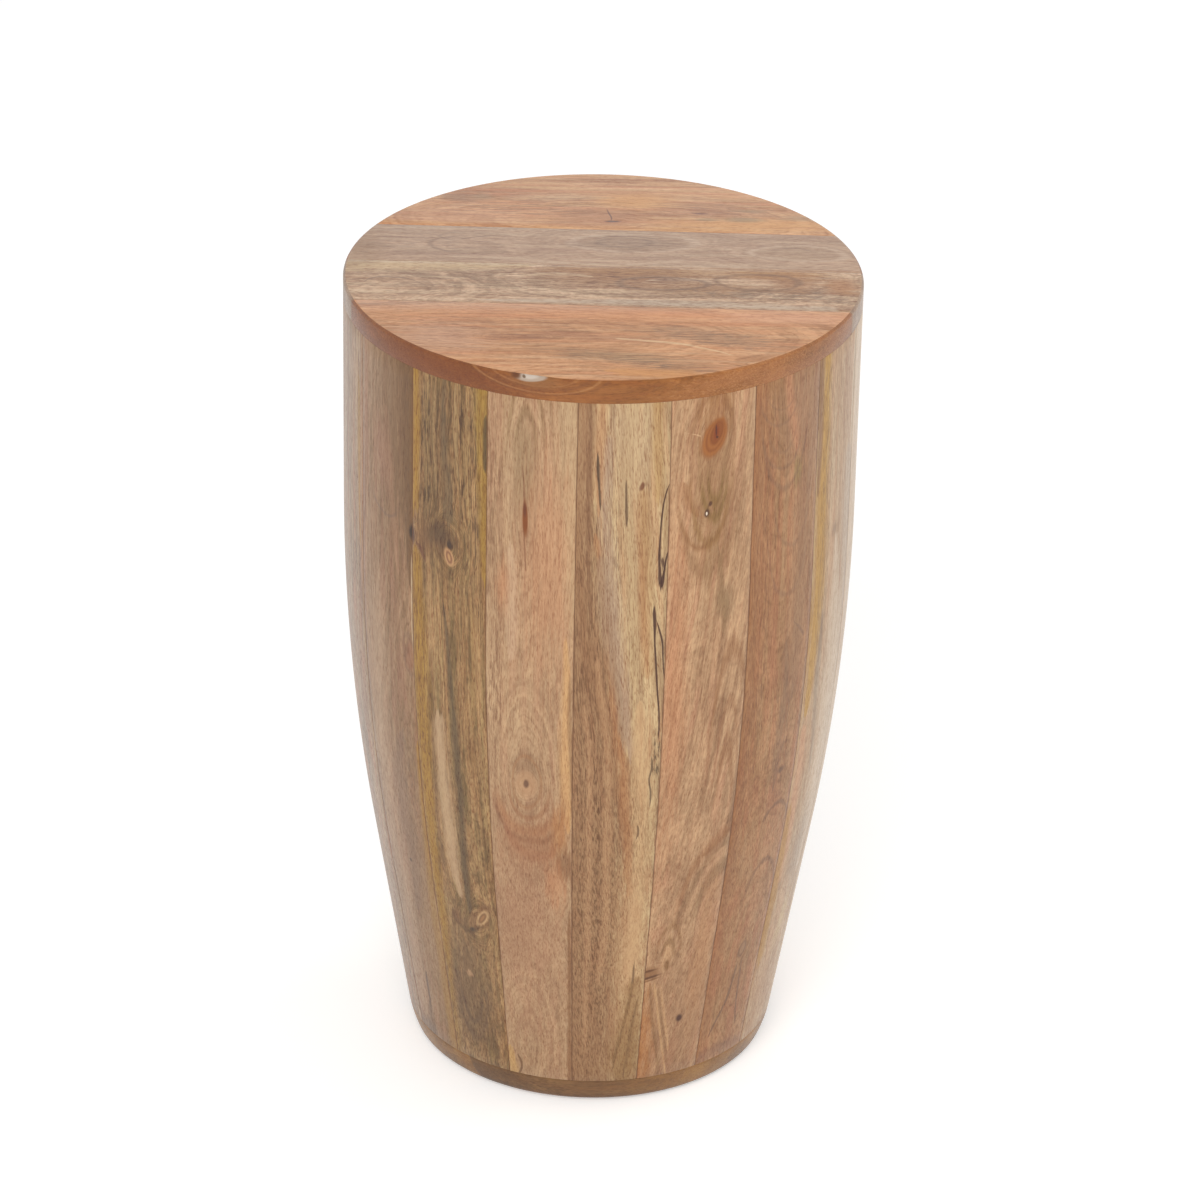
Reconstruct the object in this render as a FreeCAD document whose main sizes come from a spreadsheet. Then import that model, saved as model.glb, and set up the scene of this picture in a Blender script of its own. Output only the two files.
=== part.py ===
import FreeCAD, Part
import math
import os

import Sketcher

# A drum side table in solid wood. Eighteen staves with bevelled edges stand in a
# ring and are turned outside to one smooth outline: straight at the top, then a
# long curve, then a straight taper to a narrow foot. An edge-glued disc closes
# each end, flush with the staves. Z is up and the origin is on the floor, below
# the middle of the table.

Vector = FreeCAD.Vector

# Driving dimensions in millimetres and degrees: alias, value, meaning.
DIMENSIONS = [
    ("drum_diameter", 306, "diameter of the straight upper part"),
    ("table_height", 504, "floor to the upper face of the top"),
    ("taper_angle", 9.5, "slope of the lower part from upright"),
    ("taper_diameter", 222, "diameter of the taper carried down to the base's underside"),
    ("belly_radius", 1300, "radius of the long curve between the straight part and the taper"),
    ("stave_count", 18, "staves round the drum"),
    ("stave_thickness", 20, "thickness of a stave in its middle"),
    ("stave_turn", -84.8, "direction of the first stave's middle, from +X"),
    ("top_thickness", 14, "thickness of the boards of the top"),
    ("top_roundover", 2, "radius of the top's upper edge"),
    ("base_thickness", 15, "thickness of the boards of the base"),
    ("base_edge_radius", 60, "radius of the base's edge, which turns in below the staves"),
    ("base_chamfer", 1, "height of the bevel on the base's lower edge"),
    ("board_reach", 160, "half length of a board before the disc is cut round"),
    ("top_seam_1_left", 67, "back seam of the top, at its left end"),
    ("top_seam_1_right", 62, "back seam of the top, at its right end"),
    ("top_seam_2_left", 13, "middle seam of the top, at its left end"),
    ("top_seam_2_right", 7, "middle seam of the top, at its right end"),
    ("top_seam_3_left", -45.5, "front seam of the top, at its left end"),
    ("top_seam_3_right", -50, "front seam of the top, at its right end"),
    ("base_seam_1_left", 58, "back seam of the base, at its left end"),
    ("base_seam_1_right", 44, "back seam of the base, at its right end"),
    ("base_seam_2_left", -4, "middle seam of the base, at its left end"),
    ("base_seam_2_right", -18, "middle seam of the base, at its right end"),
    ("base_seam_3_left", -81, "front seam of the base, at its left end"),
    ("base_seam_3_right", -103, "front seam of the base, at its right end"),
    ("ring_thickness", 18, "thickness of the two rings inside the drum"),
    ("upper_ring_width", 35, "width of the upper ring, from flat to bore"),
    ("lower_ring_width", 30, "width of the lower ring, from flat to bore"),
    ("screw_count", 6, "screws in each ring"),
    ("screw_radius", 2, "radius of a screw's body"),
    ("screw_head_radius", 4, "radius of a screw's countersunk head"),
    ("screw_point", 4, "length of a screw's point"),
    ("top_screw_length", 26, "length of the screws into the top"),
    ("base_screw_length", 30, "length of the screws through the base"),
    ("top_screw_circle", 115, "radius of the circle of screws in the upper ring"),
    ("base_screw_circle", 78, "radius of the circle of screws in the base"),
    ("top_screw_turn", 15, "direction of the first screw in the upper ring"),
    ("base_screw_turn", 30, "direction of the first screw in the base"),
    ("glide_count", 4, "glides under the base"),
    ("glide_height", 2, "how far a glide holds the base off the floor"),
    ("glide_radius", 9, "radius of a glide"),
    ("glide_bevel", 1, "bevel round a glide's lower edge"),
    ("glide_circle", 94, "radius of the circle of glides"),
    ("glide_turn", 45, "direction of the first glide"),
    ("nail_radius", 0.9, "radius of a glide's nail"),
    ("nail_length", 12, "length of a glide's nail above the cap"),
]

# Levels and radii that follow from them, as expressions on the sheet.
BASE_TOP = "Sizes.glide_height + Sizes.base_thickness"
TOP_UNDERSIDE = "Sizes.table_height - Sizes.top_thickness"
DRUM_RADIUS = "Sizes.drum_diameter / 2"
TAPER_RADIUS = "Sizes.taper_diameter / 2"
STAVE_STEP = "360 / Sizes.stave_count"
WALL_ACROSS_TAPER = "Sizes.stave_thickness / cos(Sizes.taper_angle * 1 deg)"

doc = FreeCAD.newDocument("drum_side_table")
sheet = doc.addObject("Spreadsheet::Sheet", "Sizes")
for row, (alias, value, meaning) in enumerate(DIMENSIONS, start=1):
    sheet.set("A%d" % row, alias)
    sheet.set("B%d" % row, str(value))
    sheet.set("C%d" % row, meaning)
    sheet.setAlias("B%d" % row, alias)
doc.recompute()

pieces = []


def worked(expression):
    """The number that an expression on the sheet comes to."""
    return float(sheet.evalExpression(expression))


def keep(piece, name):
    """Name a finished sub-part, which is then written to its own file."""
    piece.Label = name
    pieces.append(piece)
    return piece


def turn_about_z(piece, angle):
    """Turn a piece about the table's axis by an angle on the sheet."""
    piece.Placement = FreeCAD.Placement(Vector(), FreeCAD.Rotation(Vector(0, 0, 1), 1))
    piece.setExpression("Placement.Rotation.Angle", angle)


# Sketch work: every outline lies on one of its body's own planes and is closed,
# and its sizes are bound to the sheet.

START, END, CENTRE = 1, 2, 3
ORIGIN = (-1, 1)
UPRIGHT_AXIS = -2


def sketch_in(body, name, plane_role):
    """A sketch on one of the body's own planes."""
    sketch = body.newObject("Sketcher::SketchObject", name)
    plane = next(item for item in body.Origin.OriginFeatures if item.Role == plane_role)
    sketch.AttachmentSupport = (plane, "")
    sketch.MapMode = "FlatFace"
    return sketch


def path(*corners):
    """Straight edges from corner to corner, each corner an (across, up) pair."""
    points = [Vector(across, up, 0) for across, up in corners]
    return [Part.LineSegment(start, end) for start, end in zip(points, points[1:])]


def arc(centre, radius, start_angle, end_angle):
    """An anticlockwise arc about an (across, up) centre, with angles in degrees."""
    circle = Part.Circle(Vector(*centre, 0), Vector(0, 0, 1), radius)
    return Part.ArcOfCircle(circle, math.radians(start_angle), math.radians(end_angle))


def close_outline(sketch, edges, level=(), upright=(), tangent=()):
    """Join the edges end to start; some are level or upright, some run smoothly on."""
    sketch.addGeometry(edges, False)
    for edge in range(len(edges)):
        joint = "Tangent" if edge in tangent else "Coincident"
        following = (edge + 1) % len(edges)
        sketch.addConstraint(Sketcher.Constraint(joint, edge, END, following, START))
    for edge in level:
        sketch.addConstraint(Sketcher.Constraint("Horizontal", edge))
    for edge in upright:
        sketch.addConstraint(Sketcher.Constraint("Vertical", edge))


def drive(sketch, kind, where, expression):
    """Add a dimension whose value is an expression on the sheet."""
    value = worked(expression)
    if kind == "Angle":
        value = math.radians(value)
    index = sketch.addConstraint(Sketcher.Constraint(kind, *where, value))
    sketch.setExpression("Constraints[%d]" % index, expression)


def drive_across(sketch, edge, end, expression):
    drive(sketch, "DistanceX", (*ORIGIN, edge, end), expression)


def drive_up(sketch, edge, end, expression):
    drive(sketch, "DistanceY", (*ORIGIN, edge, end), expression)


def on_upright_axis(sketch, edge, end):
    sketch.addConstraint(Sketcher.Constraint("PointOnObject", edge, end, UPRIGHT_AXIS))


def revolve(body, sketch, axis="V_Axis", angle="360"):
    """Revolve a sketch evenly to both sides of its plane."""
    turned = body.newObject("PartDesign::Revolution", "turned")
    turned.Profile = sketch
    turned.ReferenceAxis = (sketch, [axis])
    turned.Midplane = True
    turned.setExpression("Angle", angle)
    return turned


# Staves. Each is a wedge of the turned drum, so its edges are bevelled to meet the
# next along a plane through the table's axis. Its back is left flat across.

def draw_wall(sketch, inset, overrun):
    """From the axis out to the wall, an inset inside the drum's own outline."""
    radius = "%s - %s" % (DRUM_RADIUS, inset)
    belly = "Sizes.belly_radius - %s" % inset
    taper_radius = "%s - %s / cos(Sizes.taper_angle * 1 deg)" % (TAPER_RADIUS, inset)
    bottom_level = "%s - %s" % (BASE_TOP, overrun)
    top_level = "%s + %s" % (TOP_UNDERSIDE, overrun)

    slope = worked("Sizes.taper_angle")
    rise = math.tan(math.radians(90 - slope))
    bottom = worked(bottom_level)
    top = worked(top_level)
    outer = worked(radius)
    foot = worked("Sizes.glide_height")
    meeting = foot + rise * (outer - worked(taper_radius))
    curve_top = meeting + worked(belly) * math.tan(math.radians(slope / 2))
    curve = arc((outer - worked(belly), curve_top), worked(belly), -slope, 0)
    at_bottom = (worked(taper_radius) + (bottom - foot) / rise, bottom)
    curve_start = (curve.StartPoint.x, curve.StartPoint.y)
    edges = path((0, bottom), at_bottom, curve_start)
    edges += [curve]
    edges += path((outer, curve_top), (outer, top), (0, top), (0, bottom))

    underside, taper, curved, straight, upper_end, axis = range(len(edges))
    close_outline(sketch, edges, level=(underside, upper_end), upright=(straight, axis),
                  tangent=(taper, curved))
    on_upright_axis(sketch, axis, START)
    drive_up(sketch, underside, START, bottom_level)
    drive_up(sketch, upper_end, START, top_level)
    drive_across(sketch, straight, END, radius)
    drive(sketch, "Radius", (curved,), belly)
    drive(sketch, "Angle", (taper,), "90 - Sizes.taper_angle")
    gauge = sketch.addGeometry(Part.Point(Vector(worked(taper_radius), foot, 0)), True)
    sketch.addConstraint(Sketcher.Constraint("PointOnObject", gauge, START, taper))
    drive_across(sketch, gauge, START, taper_radius)
    drive_up(sketch, gauge, START, "Sizes.glide_height")


def make_stave(number):
    body = doc.addObject("PartDesign::Body", "stave_%02d" % number)
    outside = sketch_in(body, "outside_of_drum", "XZ_Plane")
    draw_wall(outside, inset="0", overrun="0")
    revolve(body, outside, angle=STAVE_STEP)

    back = sketch_in(body, "flat_back", "XZ_Plane")
    draw_wall(back, inset="Sizes.stave_thickness", overrun="1")
    hollow = body.newObject("PartDesign::Pocket", "back_planed_flat")
    hollow.Profile = back
    hollow.Midplane = True
    hollow.setExpression("Length", DRUM_RADIUS)
    turn_about_z(body, "Sizes.stave_turn + %d * %s" % (number - 1, STAVE_STEP))
    return keep(body, "stave_%02d" % number)


# Discs. The boards of each are planks joined edge to edge, with the rim turned
# afterwards, so every board is its plank within the turned disc.

def make_top_disc():
    radius = worked(DRUM_RADIUS)
    roundover = worked("Sizes.top_roundover")
    bottom = worked(TOP_UNDERSIDE)
    top = worked("Sizes.table_height")
    edges = path((0, bottom), (radius, bottom), (radius, top - roundover))
    edges += [arc((radius - roundover, top - roundover), roundover, 0, 90)]
    edges += path((radius - roundover, top), (0, top), (0, bottom))

    disc = doc.addObject("PartDesign::Body", "turned_top")
    sketch = sketch_in(disc, "section_of_top", "XZ_Plane")
    underside, rim, rounded, face, axis = range(len(edges))
    close_outline(sketch, edges, level=(underside, face), upright=(rim, axis), tangent=(rim, rounded))
    on_upright_axis(sketch, axis, START)
    drive_up(sketch, underside, START, TOP_UNDERSIDE)
    drive_up(sketch, face, START, "Sizes.table_height")
    drive_across(sketch, rim, START, DRUM_RADIUS)
    drive(sketch, "Radius", (rounded,), "Sizes.top_roundover")
    revolve(disc, sketch)
    return disc


def make_base_disc():
    """The edge carries the taper on and turns in to a small bevel underneath."""
    slope = worked("Sizes.taper_angle")
    upper_radius = "%s + Sizes.base_thickness * tan(Sizes.taper_angle * 1 deg)" % TAPER_RADIUS
    centre_across = "%s - Sizes.base_edge_radius * cos(Sizes.taper_angle * 1 deg)" % upper_radius
    centre_up = "%s + Sizes.base_edge_radius * sin(Sizes.taper_angle * 1 deg)" % BASE_TOP

    centre = (worked(centre_across), worked(centre_up))
    radius = worked("Sizes.base_edge_radius")
    bevel = worked("Sizes.base_chamfer")
    bottom = worked("Sizes.glide_height")
    top = worked(BASE_TOP)
    lower_angle = math.degrees(math.asin((bottom + bevel - centre[1]) / radius))
    curve = arc(centre, radius, lower_angle, -slope)
    above_bevel = (curve.StartPoint.x, curve.StartPoint.y)
    edges = path((0, bottom), (above_bevel[0] - bevel, bottom), above_bevel)
    edges += [curve]
    edges += path((worked(upper_radius), top), (0, top), (0, bottom))

    disc = doc.addObject("PartDesign::Body", "turned_base")
    sketch = sketch_in(disc, "section_of_base", "XZ_Plane")
    underside, bevelled, curved, face, axis = range(len(edges))
    close_outline(sketch, edges, level=(underside, face), upright=(axis,))
    on_upright_axis(sketch, axis, START)
    drive_up(sketch, underside, START, "Sizes.glide_height")
    drive_up(sketch, face, START, BASE_TOP)
    drive_across(sketch, curved, CENTRE, centre_across)
    drive_up(sketch, curved, CENTRE, centre_up)
    drive(sketch, "Radius", (curved,), "Sizes.base_edge_radius")
    drive_up(sketch, bevelled, END, "Sizes.glide_height + Sizes.base_chamfer")
    drive(sketch, "Angle", (bevelled,), "45")
    revolve(disc, sketch)
    return disc


def make_plank(name, level, thickness, front, back):
    """A plank on the disc, its two long edges given by their left and right ends."""
    reach = worked("Sizes.board_reach")
    corners = [
        (-reach, worked(front[0])),
        (reach, worked(front[1])),
        (reach, worked(back[1])),
        (-reach, worked(back[0])),
    ]
    edges = path(*corners, corners[0])
    plank = doc.addObject("PartDesign::Body", name)
    sketch = sketch_in(plank, "outline_of_plank", "XY_Plane")
    sketch.setExpression("AttachmentOffset.Base.z", level)
    front_edge, right_end, back_edge, left_end = range(len(edges))
    close_outline(sketch, edges, upright=(right_end, left_end))
    drive_across(sketch, right_end, START, "Sizes.board_reach")
    drive_across(sketch, left_end, START, "-Sizes.board_reach")
    drive_up(sketch, front_edge, START, front[0])
    drive_up(sketch, front_edge, END, front[1])
    drive_up(sketch, back_edge, START, back[1])
    drive_up(sketch, back_edge, END, back[0])
    sawn = plank.newObject("PartDesign::Pad", "sawn_to_thickness")
    sawn.Profile = sketch
    sawn.setExpression("Length", thickness)
    return plank


def joined(kind, name, base, tool):
    """One boolean of two pieces."""
    result = doc.addObject("Part::" + kind, name)
    result.Base = base
    result.Tool = tool
    return result


def make_boards(prefix, disc, level, thickness, seams, fixings):
    """Cut a disc into its boards, from the back to the front, and fit the fixings."""
    back_limit = ("Sizes.board_reach", "Sizes.board_reach")
    front_limit = ("-Sizes.board_reach", "-Sizes.board_reach")
    lines = [back_limit] + seams + [front_limit]
    for number, (back, front) in enumerate(zip(lines, lines[1:]), start=1):
        name = "%s_board_%d" % (prefix, number)
        plank = make_plank(name + "_plank", level, thickness, front, back)
        turned = joined("Common", name + "_turned", disc, plank)
        board = joined("Cut", name + "_bored", turned, fixings)
        keep(board, name)


def seam(prefix, number):
    """The left and right ends of a seam, as cells of the sheet."""
    return tuple("Sizes.%s_seam_%d_%s" % (prefix, number, side) for side in ("left", "right"))


# Rings inside the drum. Their many-sided rims fit the flat backs of the staves.

def make_ring(name, level, flat, bore, slope, screws):
    """A ring whose rim has one flat for each stave, at a slope from upright."""
    outline = doc.addObject("Part::RegularPolygon", name + "_outline")
    outline.setExpression("Polygon", "Sizes.stave_count")
    outline.setExpression("Circumradius", "(%s) / cos(180 deg / Sizes.stave_count)" % flat)
    turn_about_z(outline, "Sizes.stave_turn + %s / 2" % STAVE_STEP)
    outline.setExpression("Placement.Base.z", level)
    blank = doc.addObject("Part::Extrusion", name + "_blank")
    blank.Base = outline
    blank.DirMode = "Custom"
    blank.Dir = Vector(0, 0, 1)
    blank.Solid = True
    blank.setExpression("LengthFwd", "Sizes.ring_thickness")
    blank.setExpression("TaperAngle", slope)
    hole = doc.addObject("Part::Cylinder", name + "_bore")
    hole.setExpression("Radius", bore)
    hole.setExpression("Height", "Sizes.ring_thickness")
    hole.setExpression("Placement.Base.z", level)
    sawn = joined("Cut", name + "_sawn", blank, hole)
    keep(joined("Cut", name + "_bored", sawn, screws), name)


# Fixings. A screw or nail fills the hole that it has cut.

def draw_screw(sketch, circle, level, length):
    """Half a countersunk screw, head down, at a radius from the table's axis."""
    across = worked(circle)
    bottom = worked(level)
    head = worked("Sizes.screw_head_radius")
    body = worked("Sizes.screw_radius")
    tip = bottom + worked(length)
    edges = path(
        (across, bottom),
        (across + head, bottom),
        (across + body, bottom + head - body),
        (across + body, tip - worked("Sizes.screw_point")),
        (across, tip),
        (across, bottom),
    )
    flat, countersink, shank, point, axis = range(len(edges))
    close_outline(sketch, edges, level=(flat,), upright=(shank, axis))
    drive_across(sketch, flat, START, circle)
    drive_up(sketch, flat, START, level)
    drive_across(sketch, flat, END, "%s + Sizes.screw_head_radius" % circle)
    drive_across(sketch, shank, START, "%s + Sizes.screw_radius" % circle)
    drive_up(sketch, countersink, END, "%s + Sizes.screw_head_radius - Sizes.screw_radius" % level)
    drive_up(sketch, point, START, "%s + %s - Sizes.screw_point" % (level, length))
    drive_up(sketch, point, END, "%s + %s" % (level, length))


def make_screws(name, circle, level, length, turn):
    """A circle of equal screws, driven upwards."""
    body = doc.addObject("PartDesign::Body", name)
    sketch = sketch_in(body, "half_a_screw", "XZ_Plane")
    draw_screw(sketch, circle, level, length)
    middle = path((worked(circle), worked(level)), (worked(circle), worked(level) + 1))
    sketch.addGeometry(middle, True)
    sketch.addConstraint(Sketcher.Constraint("Vertical", len(sketch.Geometry) - 1))
    sketch.addConstraint(Sketcher.Constraint("Coincident", len(sketch.Geometry) - 1, START, 0, START))
    screw = revolve(body, sketch, axis="Axis0")
    ring_of_screws = body.newObject("PartDesign::PolarPattern", "ring_of_screws")
    ring_of_screws.Originals = [screw]
    ring_of_screws.Axis = (sketch, ["V_Axis"])
    ring_of_screws.Angle = 360
    ring_of_screws.setExpression("Occurrences", "Sizes.screw_count")
    body.Tip = ring_of_screws
    turn_about_z(body, turn)
    return keep(body, name)


def make_glide(number):
    """A low round glide with its nail, knocked into the base."""
    across = worked("Sizes.glide_circle")
    cap = worked("Sizes.glide_radius")
    height = worked("Sizes.glide_height")
    bevel = worked("Sizes.glide_bevel")
    nail = worked("Sizes.nail_radius")
    tip = height + worked("Sizes.nail_length")
    edges = path(
        (across, 0),
        (across + cap - bevel, 0),
        (across + cap, bevel),
        (across + cap, height),
        (across + nail, height),
        (across + nail, tip - nail),
        (across, tip),
        (across, 0),
    )
    body = doc.addObject("PartDesign::Body", "glide_%d" % number)
    sketch = sketch_in(body, "half_a_glide", "XZ_Plane")
    underside, bevelled, side, shoulder, shank, point, axis = range(len(edges))
    close_outline(sketch, edges, level=(underside, shoulder), upright=(side, shank, axis))
    drive_across(sketch, underside, START, "Sizes.glide_circle")
    drive_up(sketch, underside, START, "0")
    drive_across(sketch, underside, END, "Sizes.glide_circle + Sizes.glide_radius - Sizes.glide_bevel")
    drive_across(sketch, side, END, "Sizes.glide_circle + Sizes.glide_radius")
    drive_up(sketch, side, START, "Sizes.glide_bevel")
    drive_up(sketch, side, END, "Sizes.glide_height")
    drive_across(sketch, shank, START, "Sizes.glide_circle + Sizes.nail_radius")
    drive_up(sketch, shank, END, "Sizes.glide_height + Sizes.nail_length - Sizes.nail_radius")
    drive_up(sketch, point, END, "Sizes.glide_height + Sizes.nail_length")
    revolve(body, sketch, axis="Edge%d" % (axis + 1))
    turn_about_z(body, "Sizes.glide_turn + %d * 360 / Sizes.glide_count" % (number - 1))
    return keep(body, "glide_%d" % number)


def fixings_of_base(screws, glides):
    """Everything that enters the base from below, as one cutting tool."""
    fixings = doc.addObject("Part::Compound", "fixings_of_base")
    fixings.Links = [screws] + glides
    return fixings


# The table, from the staves outwards.

for number in range(1, int(worked("Sizes.stave_count")) + 1):
    make_stave(number)

ring_below_top = "%s - Sizes.ring_thickness" % TOP_UNDERSIDE
top_screws = make_screws("top_screws", "Sizes.top_screw_circle", ring_below_top,
                         "Sizes.top_screw_length", "Sizes.top_screw_turn")
base_screws = make_screws("base_screws", "Sizes.base_screw_circle", "Sizes.glide_height",
                          "Sizes.base_screw_length", "Sizes.base_screw_turn")
glides = [make_glide(number) for number in range(1, int(worked("Sizes.glide_count")) + 1)]

make_boards("top", make_top_disc(), TOP_UNDERSIDE, "Sizes.top_thickness",
            [seam("top", number) for number in (1, 2, 3)], top_screws)
make_boards("base", make_base_disc(), "Sizes.glide_height", "Sizes.base_thickness",
            [seam("base", number) for number in (1, 2, 3)], fixings_of_base(base_screws, glides))

straight_flat = "%s - Sizes.stave_thickness" % DRUM_RADIUS
foot_flat = "%s + Sizes.base_thickness * tan(Sizes.taper_angle * 1 deg) - %s" % (
    TAPER_RADIUS, WALL_ACROSS_TAPER)
make_ring("upper_ring", ring_below_top, straight_flat, straight_flat + " - Sizes.upper_ring_width",
          "0", top_screws)
make_ring("lower_ring", BASE_TOP, foot_flat, foot_flat + " - Sizes.lower_ring_width",
          "Sizes.taper_angle", base_screws)

doc.recompute()


# Nothing is written unless every object and every piece is sound.

for item in doc.Objects:
    if {"Invalid", "Error"} & set(item.State):
        raise RuntimeError("%s failed: %s" % (item.Label, item.State))
for piece in pieces:
    if piece.Shape.isNull() or not piece.Shape.isValid() or not piece.Shape.Solids:
        raise RuntimeError("%s has no sound solid" % piece.Label)

os.makedirs("parts", exist_ok=True)
for piece in pieces:
    piece.Shape.exportStep("parts/%s.step" % piece.Label)
    print("%-16s %d solid(s) %10.1f mm3" % (piece.Label, len(piece.Shape.Solids), piece.Shape.Volume))
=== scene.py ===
# %% [markdown]
# # A drum side table in mango wood
#
# Eighteen upright staves with bevelled edges stand in a ring, glued edge to edge
# like a cask, and are turned outside to one long, smooth curve. A disc glued up
# from boards closes each end. Nothing moves: it is one stiff shell.
#
# This lesson dresses the plain solids. It models the staves, the two discs, the
# screws and the glides again with finer edges, and then gives each board its own
# wood: bands, knots, stains and thin dark lines, drawn in millimetres on the board.

import math

import bmesh
import bpy
from mathutils import Matrix, Vector


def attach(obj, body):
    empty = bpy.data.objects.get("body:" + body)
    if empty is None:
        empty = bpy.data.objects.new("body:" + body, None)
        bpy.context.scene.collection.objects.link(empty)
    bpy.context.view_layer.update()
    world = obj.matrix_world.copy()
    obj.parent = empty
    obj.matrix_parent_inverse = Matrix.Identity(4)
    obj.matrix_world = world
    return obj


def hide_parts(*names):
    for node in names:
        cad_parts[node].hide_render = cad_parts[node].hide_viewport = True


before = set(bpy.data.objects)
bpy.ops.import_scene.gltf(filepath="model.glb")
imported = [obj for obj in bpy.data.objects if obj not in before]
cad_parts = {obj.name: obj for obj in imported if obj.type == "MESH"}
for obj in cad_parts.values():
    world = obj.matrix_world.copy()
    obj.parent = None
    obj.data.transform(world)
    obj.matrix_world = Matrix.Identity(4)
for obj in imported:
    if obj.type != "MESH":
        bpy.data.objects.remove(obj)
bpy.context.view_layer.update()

# %% [markdown]
# ## The outline of the drum
#
# A turner works to one outline, so every piece here takes its radius from one
# function. From the floor up, the side is a straight taper, then a long curve of
# 1.3 m radius that meets the taper without a corner, then a straight upright part.
# Two formulas give it exactly, where a hand-drawn curve would only come close.

# %% Heights and radii, in metres
MM = 0.001
BASE_LOW = 2 * MM
BASE_HIGH = 17 * MM
TOP_LOW = 490 * MM
TOP_HIGH = 504 * MM
RIM_RADIUS = 153 * MM
FOOT_RADIUS = 111 * MM
TAPER = math.radians(9.5)
BELLY_RADIUS = 1300 * MM

CURVE_RADIUS = RIM_RADIUS - BELLY_RADIUS * (1 - math.cos(TAPER))
CURVE_LOW = BASE_LOW + (CURVE_RADIUS - FOOT_RADIUS) / math.tan(TAPER)
CURVE_HIGH = CURVE_LOW + BELLY_RADIUS * math.sin(TAPER)


def turned_radius(height):
    """Radius of the drum's turned outside at a height above the floor."""
    if height < CURVE_LOW:
        return FOOT_RADIUS + (height - BASE_LOW) * math.tan(TAPER)
    drop = max(0.0, CURVE_HIGH - height)
    return RIM_RADIUS - BELLY_RADIUS + math.sqrt(BELLY_RADIUS**2 - drop**2)


print("the curve runs from", round(CURVE_LOW, 4), "to", round(CURVE_HIGH, 4), "m")

# %% [markdown]
# ## Working by hand, from code
#
# In a window, a modeller clicks on what they want to change. In a script the
# clicks are replaced by tests: these helpers start a piece with nothing else
# selected, and select just the points, edges or faces that pass a test.


# %% Helpers for modelling
def begin(name, add, **size):
    """Adds a primitive with nothing else selected, names it and opens it in edit mode."""
    bpy.ops.object.select_all(action="DESELECT")
    add(**size)
    piece = bpy.context.object
    piece.name = piece.data.name = name
    bpy.ops.object.transform_apply(location=True, rotation=True, scale=True)
    bpy.ops.object.mode_set(mode="EDIT")
    return piece


def pick(kind, test):
    """Selects just the verts, edges or faces of the open mesh that pass the test."""
    bpy.ops.mesh.select_mode(type={"verts": "VERT", "edges": "EDGE", "faces": "FACE"}[kind])
    bpy.ops.mesh.select_all(action="DESELECT")
    shape = bmesh.from_edit_mesh(bpy.context.object.data)
    chosen = [part for part in getattr(shape, kind) if test(part)]
    for part in chosen:
        part.select_set(True)
    shape.select_flush(True)
    bmesh.update_edit_mesh(bpy.context.object.data)
    return len(chosen)


def along(edge, direction, least=0.99):
    """True if the edge runs along the direction."""
    run = edge.verts[1].co - edge.verts[0].co
    return run.length > 0 and abs(run.normalized().dot(Vector(direction))) > least


def close_up(angle=30):
    """Leaves edit mode with the faces pointing outwards and shaded smooth below the angle."""
    bpy.ops.mesh.select_all(action="SELECT")
    bpy.ops.mesh.normals_make_consistent(inside=False)
    if bmesh.from_edit_mesh(bpy.context.object.data).calc_volume(signed=True) < 0:
        bpy.ops.mesh.flip_normals()
    bpy.ops.object.mode_set(mode="OBJECT")
    bpy.ops.object.shade_smooth_by_angle(angle=math.radians(angle))


def copy_of(piece, name, turn=0.0):
    """Copies a piece with its own mesh, turned round the drum's axis by an angle in degrees."""
    bpy.ops.object.select_all(action="DESELECT")
    bpy.context.view_layer.objects.active = piece
    piece.select_set(True)
    bpy.ops.object.duplicate(linked=False)
    twin = bpy.context.object
    twin.name = twin.data.name = name
    twin.rotation_euler = (0, 0, math.radians(turn))
    bpy.ops.object.transform_apply(location=True, rotation=True, scale=True)
    return twin


def settle(piece, nodes):
    """The piece stands for those solids and moves with the body."""
    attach(piece, "root")
    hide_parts(*nodes)


# %% [markdown]
# ## A stave
#
# A stave is a board whose two long edges are planed to 10 degrees, so that
# eighteen of them close a ring. The flat back shows it was a plain board; the
# outside was turned after gluing, so it is round.
#
# The outside could be a cut from a barrel shape, but a cut leaves long thin faces
# that shade badly. Here the outline is traced point by point by extruding, spun
# through 20 degrees into a skin, and the skin is extruded inwards. Each row of the
# back is then scaled flat. A 0.2 mm bevel on the sharp edges gives the hairline
# that shows where two boards meet.

# %% Trace the outline of the front stave
STAVES = 18
STAVE_ANGLE = 360 / STAVES
STAVE_DEPTH = 20 * MM
ROWS = 48
COLUMNS = 16

levels = [BASE_HIGH + (TOP_LOW - BASE_HIGH) * row / ROWS for row in range(ROWS + 1)]
half_angle = math.radians(STAVE_ANGLE / 2)
edge_way = Vector((-math.sin(half_angle), -math.cos(half_angle), 0))
trace = [edge_way * turned_radius(height) + Vector((0, 0, height)) for height in levels]

stave = begin("stave", bpy.ops.mesh.primitive_plane_add, size=MM, location=trace[0])
bpy.ops.mesh.merge(type="CENTER")
for here, there in zip(trace, trace[1:]):
    bpy.ops.mesh.extrude_region_move(TRANSFORM_OT_translate={"value": there - here})
print("outline points:", len(bmesh.from_edit_mesh(stave.data).verts))

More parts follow.
